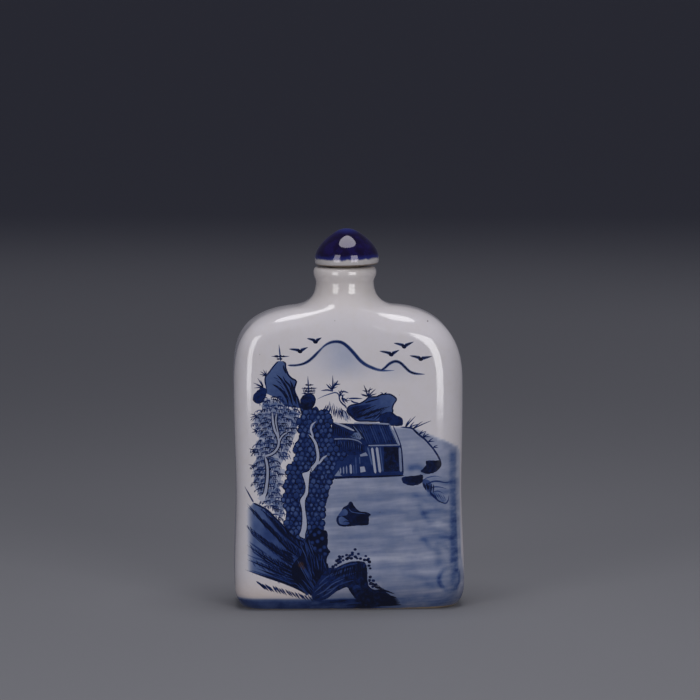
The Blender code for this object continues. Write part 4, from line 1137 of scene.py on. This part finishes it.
def bottle_mesh(paintings):
    """The closed bottle with its paintings: corners' ink and washed, and points' wash and streaks."""
    rings, widths, first, last, outside = bottle_rings()
    points = [np.vstack(rings)]
    around = [np.concatenate([turns(width) for width in widths])]
    number = np.arange(len(rings) * RING_POINTS).reshape(-1, RING_POINTS)
    number[0], number[-1] = number[0, 0], number[-1, 0]
    count = number.size
    rise = length_along(np.array([points_of[FACE_COLUMNS // 2] for points_of in rings]))
    faces, maps, inks, washed = [], [], [], []

    def add(corners, places, ink, wash):
        kept = [i for i in range(len(corners)) if corners[i] != corners[i - 1]]
        faces.append([int(corners[i]) for i in kept])
        maps.extend(places[i] for i in kept)
        inks.extend(ink[i] for i in kept)
        washed.extend(wash[i] for i in kept)

    def region(row, column):
        """The island of the quad that starts here, its first column and width, and its rows."""
        if row < first:
            return "foot", 0, RING_POINTS, 0, first
        if row >= outside:
            return "inside", 0, RING_POINTS, outside, len(rings) - 1
        if row >= last:
            return "shoulders", 0, RING_POINTS, last, outside
        if column < BACK_START:
            return "right", FACE_COLUMNS, SIDE_COLUMNS, first, last
        return "left", BACK_START + FACE_COLUMNS, SIDE_COLUMNS, first, last

    for row in range(len(rings) - 1):
        for column in range(RING_POINTS):
            on_a_face = column < FACE_COLUMNS or BACK_START <= column < BACK_START + FACE_COLUMNS
            if first <= row < last and on_a_face:
                continue
            island, start, width, low, high = region(row, column)
            across = (np.array([column, column + 1, column + 1, column]) - start) / width
            up = (rise[[row, row, row + 1, row + 1]] - rise[low]) / (rise[high] - rise[low])
            add(quad_at(number, row, column), on_map(across, up, island), (0.0,) * 4, (1.0,) * 4)

    normals = {}
    rows = respace(cut(SIDE_LINE, PATCH_LOW, PATCH_HIGH), ROW_STEP)
    share = np.linspace(-FACE_SHARE, FACE_SHARE, FACE_COLUMNS + 1)
    grid = np.stack([np.outer(rows[:, 0], share), np.repeat(rows[:, 1:], len(share), axis=1)], axis=-1)
    for painting, left, island in zip(paintings, (0, BACK_START), ("front", "back")):
        edge = once_round(number[first : last + 1, left : left + FACE_COLUMNS + 1])
        placed, triangles, ink, wash = painting.triangulate(once_round(grid))
        loose = placed[len(edge) :]
        name = np.concatenate([edge, count + np.arange(len(loose))])
        count += len(loose)
        points.append(on_face(loose, painting.side))
        around.append(loose[:, 0] if painting.side < 0 else round_back(loose[:, 0]))
        normals.update(zip(name.tolist(), face_normals(placed, painting.side)))
        across = (placed[:, 0] / (FACE_SHARE * half_width_at(placed[:, 1])) + 1) / 2
        up = (placed[:, 1] - PATCH_LOW) / (PATCH_HIGH - PATCH_LOW)
        spots = on_map(across, up, island)
        for corners, ink_here, wash_here in zip(triangles, ink, wash):
            add(name[corners], spots[corners], ink_here, wash_here)

    points, around = np.vstack(points), np.concatenate(around)
    kept, faces = compact(faces)
    mesh = bpy.data.meshes.new("bottle_glazed")
    mesh.from_pydata([Vector(point) * MM for point in points[kept]], [], faces)
    mesh.shade_smooth()
    shading = np.array([normals.get(old, mesh.vertices[new].normal) for new, old in enumerate(kept.tolist())])
    grid = np.searchsorted(kept, number[last : outside - 2])
    shading[grid] = eased(shading[grid], points[number[last : outside - 2]][:, :, 2])
    mesh.normals_split_custom_set_from_vertices([tuple(normal) for normal in shading])
    mesh.uv_layers.new(name="OFBake").uv.foreach_set("vector", np.ravel(maps))
    put(mesh, "ink", inks, "CORNER")
    put(mesh, "washed", washed, "CORNER")
    outer = (kept >= first * RING_POINTS) & ((kept < (outside + 1) * RING_POINTS) | (kept >= number.size))
    put(mesh, "wash", np.where(outer, wash_at(around[kept], points[kept, 2]), 0.0), "POINT")
    put(mesh, "streaks", streaks_at(around[kept], points[kept, 2]), "POINT")
    return mesh


def eased(normals, heights):
    """Normals of the rings over the shoulders, evened out so that their reflections run on smoothly."""
    share = (smoothstep(heights, *EASED_FROM) * (1 - smoothstep(heights, *EASED_TO)))[..., None]
    for _ in range(EASING):
        beside = np.roll(normals, 1, axis=1) + np.roll(normals, -1, axis=1)
        stacked = np.concatenate([normals[:1], normals, normals[-1:]])
        mean = 0.25 * (beside + stacked[:-2] + stacked[2:])
        normals = normals + share * (mean - normals)
    return normals / np.linalg.norm(normals, axis=2)[..., None]


def quad_at(number, row, column):
    """The numbers of the corners of one quad between two rings."""
    after = (column + 1) % number.shape[1]
    return number[[row, row, row + 1, row + 1], [column, after, after, column]]


def compact(faces):
    """The numbers of the points that faces use, and the faces renumbered to them."""
    kept, renumbered = np.unique(np.concatenate(faces), return_inverse=True)
    ends = np.cumsum([len(face) for face in faces])[:-1]
    return kept, [face.tolist() for face in np.split(renumbered, ends)]


def put(mesh, name, values, domain):
    mesh.attributes.new(name, "FLOAT", domain).data.foreach_set("value", np.asarray(values, float))


# ================================================================ the stopper's mesh


def stopper_mesh():
    """The glazed dome on its rim, with the plug below: rings about the stopper's own upright axis."""
    plug = respace(np.vstack([bezier(PLUG_CURVE), [(PLUG_RADIUS, 0.0)]]), 4 * STOPPER_STEP)
    plug = np.column_stack([plug, np.full(len(plug), PLUG_SHIFT)])
    dome = respace(chain(RIM_CURVE, DOME_CURVE, APEX_CURVE), STOPPER_STEP)
    dome = np.column_stack([dome, np.zeros(len(dome))])
    middle = [(0.0, plug[0, 1], PLUG_SHIFT)]
    profile = np.vstack([middle, plug, dome])
    angle = np.arange(STOPPER_SIDES) * 2 * math.pi / STOPPER_SIDES
    points = [
        np.column_stack([shift + radius * np.cos(angle), radius * np.sin(angle), np.full(STOPPER_SIDES, z)])
        for radius, z, shift in profile
    ]
    number = np.arange(len(points) * STOPPER_SIDES).reshape(-1, STOPPER_SIDES)
    number[0], number[-1] = number[0, 0], number[-1, 0]
    rise = length_along(profile[:, :2]) / length_along(profile[:, :2])[-1]
    faces, maps = [], []
    for row, column in np.ndindex(len(points) - 1, STOPPER_SIDES):
        corners = quad_at(number, row, column)
        across = np.array([column, column + 1, column + 1, column]) / STOPPER_SIDES
        places = np.column_stack([across, rise[[row, row, row + 1, row + 1]]])
        kept = [i for i in range(4) if corners[i] != corners[i - 1]]
        faces.append(corners[kept])
        maps.append(MAP_MARGIN + (1 - 2 * MAP_MARGIN) * places[kept])
    kept, faces = compact(faces)
    mesh = bpy.data.meshes.new("stopper_glazed")
    mesh.from_pydata([Vector(point) * MM for point in np.vstack(points)[kept]], [], faces)
    mesh.shade_smooth()
    mesh.uv_layers.new(name="OFBake").uv.foreach_set("vector", np.ravel(np.vstack(maps)))
    return mesh


# ================================================================ materials

WHITE = (0.702, 0.669, 0.709)
INK_COLOURS = (  # what a density of cobalt leaves of the white: thin washes are pale, pooled ink nearly navy
    (0.0, (1.0, 1.0, 1.0)), (0.12, (0.62, 0.69, 0.83)), (0.28, (0.36, 0.43, 0.60)), (0.36, (0.27, 0.345, 0.52)),
    (0.55, (0.115, 0.19, 0.40)), (0.70, (0.05, 0.10, 0.29)), (0.84, (0.013, 0.041, 0.18)),
    (0.93, (0.004, 0.021, 0.125)), (0.97, (0.003, 0.012, 0.066)), (1.0, (0.0015, 0.005, 0.028)),
)
# the foot's tint is painted shade with a warm painted reflection, darker and warmer towards the foot
NECK_TINT, FOOT_PAINTED_SHADE, MOTTLE_TINT = (0.97, 0.94, 0.86), (0.93, 0.84, 0.76), (0.96, 0.945, 0.90)
BARE_CLAY, BARE_CLAY_DARK = (0.40, 0.29, 0.19), (0.248, 0.1798, 0.1178)
SPECK_BROWN = (0.05, 0.026, 0.012)
SPECKS = (  # iron specks: place in millimetres, radius, strength
    ((16.3, 61.2), 0.15, 0.75), ((-10.6, 9.9), 0.62, 0.7), ((-10.1, 9.2), 0.35, 0.6), ((6.1, 21.0), 0.12, 0.5),
    ((-3.4, 61.6), 0.11, 0.45), ((10.2, 45.9), 0.1, 0.4), ((-19.2, 54.6), 0.12, 0.4),
)
# the dome's paler blue serves both the thinner glaze just above the rim and a painted reflection over the top
DOME_DEEP, DOME_POOLED, DOME_THIN_AND_SHEEN = (0.0065, 0.003, 0.028), (0.010, 0.0055, 0.062), (0.018, 0.026, 0.19)
DOME_TINT = (0.92, 0.86, 1.0)
RIM_WHITE, RIM_GREY = (0.60, 0.575, 0.59), (0.50, 0.465, 0.45)
RIM_FOOT, RIM_FLECK = (0.16, 0.115, 0.075), (0.10, 0.05, 0.02)
PLUG_CLAY, PLUG_CLAY_DARK = (0.46, 0.40, 0.33), (0.30, 0.24, 0.18)
FLOOR_GREY, WORLD_GREY = (0.25, 0.25, 0.275), (0.06, 0.062, 0.084)


class Value:
    """What a node gives. Adding, subtracting and multiplying make the nodes that work it out."""

    def __init__(self, tree, socket):
        self.tree, self.socket = tree, socket

    def __add__(self, other):
        return self.tree.math("ADD", self, other)

    def __sub__(self, other):
        return self.tree.math("SUBTRACT", self, other)

    def __rsub__(self, other):
        return self.tree.math("SUBTRACT", other, self)

    def __mul__(self, other):
        return self.tree.math("MULTIPLY", self, other)

    def clamped(self):
        """The same value, kept from 0 to 1 by the node that gives it."""
        self.socket.node.use_clamp = True
        return self


class Tree:
    """A material's nodes, made and linked in short calls."""

    def __init__(self, name):
        self.material = bpy.data.materials.new(name)
        self.material.use_nodes = True
        self.nodes = self.material.node_tree.nodes
        self.shader = self.nodes["Principled BSDF"].inputs

    def feed(self, socket, value):
        if isinstance(value, Value):
            self.material.node_tree.links.new(value.socket, socket)
        elif socket.type == "RGBA":
            socket.default_value = (*value, 1.0)
        else:
            socket.default_value = value

    def node(self, kind, inputs=None, out=0, **settings):
        made = self.nodes.new(kind)
        for key, value in settings.items():
            setattr(made, key, value)
        for key, value in (inputs or {}).items():
            self.feed(made.inputs[key], value)
        return Value(self, made.outputs[out])

    def math(self, operation, *values):
        return self.node("ShaderNodeMath", dict(enumerate(values)), operation=operation)

    def scaled(self, vector, factors):
        return self.node("ShaderNodeVectorMath", {0: vector, 1: factors}, operation="MULTIPLY")

    def place(self, stretch=(1.0, 1.0, 1.0), tilt=0.0):
        """Object coordinates in millimetres, stretched, their level lines tilted up to the right."""
        where = self.node("ShaderNodeTexCoord", out="Object")
        if tilt:
            where = self.node("ShaderNodeMapping", {"Vector": where, "Rotation": (0.0, tilt, 0.0)})
        return self.scaled(where, tuple(value / MM for value in stretch))

    def across_up(self):
        """x, y and z in millimetres."""
        split = self.node("ShaderNodeSeparateXYZ", {0: self.place()}).socket.node
        return (Value(self, socket) for socket in split.outputs)

    def noise(self, size, detail=2.0, roughness=0.5, stretch=(1.0, 1.0, 1.0), tilt=0.0):
        """Noise from 0 to 1, with features about size millimetres across."""
        inputs = {"Vector": self.place(stretch, tilt), "Scale": 1 / size, "Detail": detail, "Roughness": roughness}
        return self.node("ShaderNodeTexNoise", inputs)

    def between(self, value, low, high):
        """0 at low and 1 at high, smooth between them, whichever of the two is larger."""
        inputs = {"Value": value, "From Min": low, "From Max": high}
        return self.node("ShaderNodeMapRange", inputs, interpolation_type="SMOOTHSTEP")

    def spread(self, share, low, high):
        """low where the share is 0 and high where it is 1."""
        return self.node("ShaderNodeMapRange", {"Value": share, "To Min": low, "To Max": high})

    def mix(self, share, first, second):
        return self.node("ShaderNodeMix", {0: share, 6: first, 7: second}, out=2, data_type="RGBA")

    def tinted(self, colour, share, tint):
        return self.mix(share, colour, self.scaled(colour, tint))

    def ramp(self, value, stops):
        """Colours along a value, from (place, colour) stops."""
        colour = self.node("ShaderNodeValToRGB", {"Fac": value})
        band = colour.socket.node.color_ramp
        for _ in stops[2:]:
            band.elements.new(1.0)
        for element, (place, tone) in zip(band.elements, stops):
            element.position, element.color = place, (*tone, 1.0)
        return colour

    def finish(self, colour, roughness, specular):
        self.feed(self.shader["Base Color"], colour)
        self.feed(self.shader["Roughness"], roughness)
        self.shader["Specular IOR Level"].default_value = specular

    def bump(self, height, depth):
        """Uneven ground: height runs over 0 to 1, and depth is in millimetres."""
        inputs = {"Height": height, "Distance": depth * MM, "Strength": 1.0}
        self.feed(self.shader["Normal"], self.node("ShaderNodeBump", inputs))


def porcelain():
    """White glaze over the painting: streaked washes, pooled ink, specks, and bare clay at the foot."""
    tree = Tree("porcelain_blue_and_white")
    names = ("ink", "washed", "wash", "streaks")
    ink, washed, wash, streaks = (tree.node("ShaderNodeAttribute", out="Fac", attribute_name=name) for name in names)
    level = tree.noise(2.1, detail=3.0, stretch=(0.11, 0.5, 1.0), tilt=0.075) - 0.5
    fine = tree.noise(0.7, stretch=(0.12, 0.5, 1.0), tilt=0.05) - 0.5
    pooled = tree.noise(3.6, detail=4.0, roughness=0.6) - 0.5
    change = (level + fine * 0.3) * streaks * 1.9 + pooled * 0.7
    wash = (wash * (change + 1.0)).clamped() * washed
    brushed = tree.noise(0.8, detail=4.0, roughness=0.62) - 0.5
    ink = (ink * (brushed * 0.3 + 1.03)).clamped()
    density = (1.0 - (1.0 - ink) * (1.0 - wash)).clamped()
    colour = tree.ramp(density, [(place, np.multiply(WHITE, share)) for place, share in INK_COLOURS])

    # warmer up the neck, painted shade with a warm painted reflection towards the foot, and the glaze's own faint
    # blotches
    x, y, z = tree.across_up()
    colour = tree.tinted(colour, tree.between(z, 61.0, 68.0) * 0.75, NECK_TINT)
    # painted shade with a warm painted reflection: darker and warmer towards the foot
    colour = tree.tinted(colour, tree.between(z, 9.0, 0.5), FOOT_PAINTED_SHADE)
    mottle = tree.between(tree.noise(2.8, detail=5.0, roughness=0.7), 0.42, 0.7)
    colour = tree.tinted(colour, mottle * 0.5, MOTTLE_TINT)

    # specks on the front only
    facing = tree.between(y, 0.0, -1.0)
    for middle, radius, strength in SPECKS:
        square = [tree.math("POWER", place - at, 2.0) for place, at in zip((x, z), middle)]
        near = tree.between(tree.math("SQRT", square[0] + square[1]), 1.3 * radius, 0.5 * radius) * strength
        colour = tree.mix(near * facing, colour, SPECK_BROWN)

    # the glaze ends raggedly just above the floor, a little higher on the right
    ragged = (tree.noise(1.1, detail=3.0) - 0.5) * 0.3
    glaze_foot = tree.between(x, 6.0, 21.0) * 0.34 + 0.16 + ragged
    bare = tree.between(z - glaze_foot, 0.06, -0.06)
    colour = tree.mix(bare, colour, tree.mix(tree.noise(0.6, detail=4.0), BARE_CLAY, BARE_CLAY_DARK))
    tree.finish(colour, tree.spread(bare + mottle * 0.04, 0.09, 0.7), 0.9)
    tree.bump(tree.noise(2.6) + tree.noise(0.5) * 0.07, 0.014)
    return tree.material


def cobalt():
    """Deep cobalt glaze that stops short of a pale rim; the clay below it is bare."""
    tree = Tree("cobalt_glazed_dome")
    x, _, z = tree.across_up()
    height = z + (tree.noise(1.6, detail=4.0, roughness=0.6) - 0.5) * 0.9
    pooled = tree.between(tree.noise(2.4, detail=4.0, roughness=0.6), 0.42, 0.64)
    # painted reflection: paler blue over the top; the paler blue just above the rim is thinner glaze
    thin = tree.math("MAXIMUM", tree.between(z, 6.4, 7.8), tree.between(height, 2.5, 1.5) * 0.8)
    glaze = tree.mix(thin, tree.mix(pooled, DOME_DEEP, DOME_POOLED), DOME_THIN_AND_SHEEN)
    rim = tree.mix(tree.noise(0.9, detail=3.0), RIM_WHITE, RIM_GREY)
    rim = tree.mix(tree.between(z, 0.42, 0.12), rim, RIM_FOOT)
    fleck = tree.between(tree.noise(0.6), 0.58, 0.66) * tree.between(z, 1.4, 1.0)
    rim = tree.mix(fleck * (tree.between(x, 0.9, 1.6) * tree.between(x, 3.6, 2.6)), rim, RIM_FLECK)
    body = tree.mix(tree.between(height, 1.12, 1.62), rim, glaze)
    under = tree.between(z, 0.04, -0.04)
    clay = tree.mix(tree.noise(0.8, detail=4.0), PLUG_CLAY, PLUG_CLAY_DARK)
    dull = tree.math("MAXIMUM", under, tree.between(z, 0.3, 0.1))
    tree.finish(tree.mix(under, body, clay), tree.spread(dull, 0.06, 0.65), 0.75)
    tree.shader["Specular Tint"].default_value = (*DOME_TINT, 1.0)
    tree.bump(tree.noise(1.6) + tree.between(height, 1.2, 1.7) * 1.2, 0.012)
    return tree.material


def pale_floor():
    tree = Tree("pale_floor")
    tree.feed(tree.shader["Base Color"], FLOOR_GREY)
    tree.shader["Roughness"].default_value = 0.7
    return tree.material


# ================================================================ the scene

FLOOR_REACH = 9.0
CAMERA_TURN, CAMERA_RISE = math.radians(-2.5), math.radians(6.2)
CAMERA_REACH = 0.85
CAMERA_TARGET = (0.0002, 0.0, 0.0544)
FRAME_WIDTH = 0.1488
SENSOR_WIDTH = 36.0
PANEL_AWAY, PANEL_LOW = 0.45, -0.012  # two tall panels stand this far from the bottle, from this height
PANELS = (("left", -39.0, 0.175, 0.34, 3.0), ("right", 25.0, 0.2, 0.31, 3.7))  # name, turn, width, top, radiance
MIDDLE = (0.0, 0.0, 0.05)
SOFT_LIGHTS = (  # name, place, target, size, radiance, shape, whether the glaze mirrors it
    ("key", (0.004, -0.024, 0.36), (0.0, 0.0, 0.07), (0.235, 0.19), 3.6, "ELLIPSE", True),
    ("fill", (0.5, 0.42, 0.2), MIDDLE, (0.6, 0.5), 0.4, "RECTANGLE", False),
    ("behind", (0.05, 0.75, 0.55), MIDDLE, (0.8, 0.6), 0.42, "RECTANGLE", False),
)


def link(name, data):
    made = bpy.data.objects.new(name, data)
    bpy.context.scene.collection.objects.link(made)
    return made


def piece(name, mesh, material):
    mesh.materials.append(material)
    return link(name, mesh)


def softbox(name, place, target, size, radiance, shape="RECTANGLE", mirrored=True):
    """An even panel of a given radiance, itself unseen."""
    light = bpy.data.lights.new(name, "AREA")
    light.shape, light.size, light.size_y = shape, *size
    share = math.pi / 4 if shape == "ELLIPSE" else 1.0
    light.energy = radiance * math.pi * share * size[0] * size[1]
    made = link(name, light)
    made.location = place
    made.rotation_euler = (Vector(target) - Vector(place)).to_track_quat("-Z", "Y").to_euler()
    made.visible_camera = False
    made.visible_glossy = mirrored


def camera():
    """A long lens slightly above the bottle, at the height and turn of the photograph."""
    made = bpy.data.cameras.new("camera")
    made.sensor_width = SENSOR_WIDTH
    made.lens = SENSOR_WIDTH * CAMERA_REACH / FRAME_WIDTH
    holder = link("camera", made)
    level = math.cos(CAMERA_RISE)
    away = Vector((math.sin(CAMERA_TURN) * level, -math.cos(CAMERA_TURN) * level, math.sin(CAMERA_RISE)))
    holder.location = Vector(CAMERA_TARGET) + away * CAMERA_REACH
    holder.rotation_euler = (-away).to_track_quat("-Z", "Y").to_euler()
    bpy.context.scene.camera = holder


front, back = Painting(-1), Painting(1)
paint_front(front)
paint_back(back)
bottle = piece("bottle_glazed", bottle_mesh((front, back)), porcelain())
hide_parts("bottle")
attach(bottle, "root")

stopper = piece("stopper_glazed", stopper_mesh(), cobalt())
seat = Vector((STOPPER_X, 0.0, STOPPER_FOOT + STOPPER_RADIUS * math.sin(STOPPER_TILT))) * MM
stopper.matrix_world = Matrix.Translation(seat) @ Matrix.Rotation(-STOPPER_TILT, 4, "Y")
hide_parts("stopper")
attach(stopper, "root")

camera()

floor_mesh = bpy.data.meshes.new("floor")
corners = [(x * FLOOR_REACH, y * FLOOR_REACH, 0.0) for x, y in ((-1, -1), (1, -1), (1, 1), (-1, 1))]
floor_mesh.from_pydata(corners, [], [(0, 1, 2, 3)])
floor = piece("floor", floor_mesh, pale_floor())
floor.visible_glossy = False

for name, turn, width, top, radiance in PANELS:
    turn, middle = math.radians(turn), (PANEL_LOW + top) / 2
    place = (PANEL_AWAY * math.sin(turn), -PANEL_AWAY * math.cos(turn), middle)
    softbox(name, place, (0.0, 0.0, middle), (width, top - PANEL_LOW), radiance)
for settings in SOFT_LIGHTS:
    softbox(*settings)

world = bpy.data.worlds.new("world")
bpy.context.scene.world = world
world.use_nodes = True
world.node_tree.nodes["Background"].inputs["Color"].default_value = (*WORLD_GREY, 1.0)
bpy.context.scene.view_settings.view_transform = "Standard"
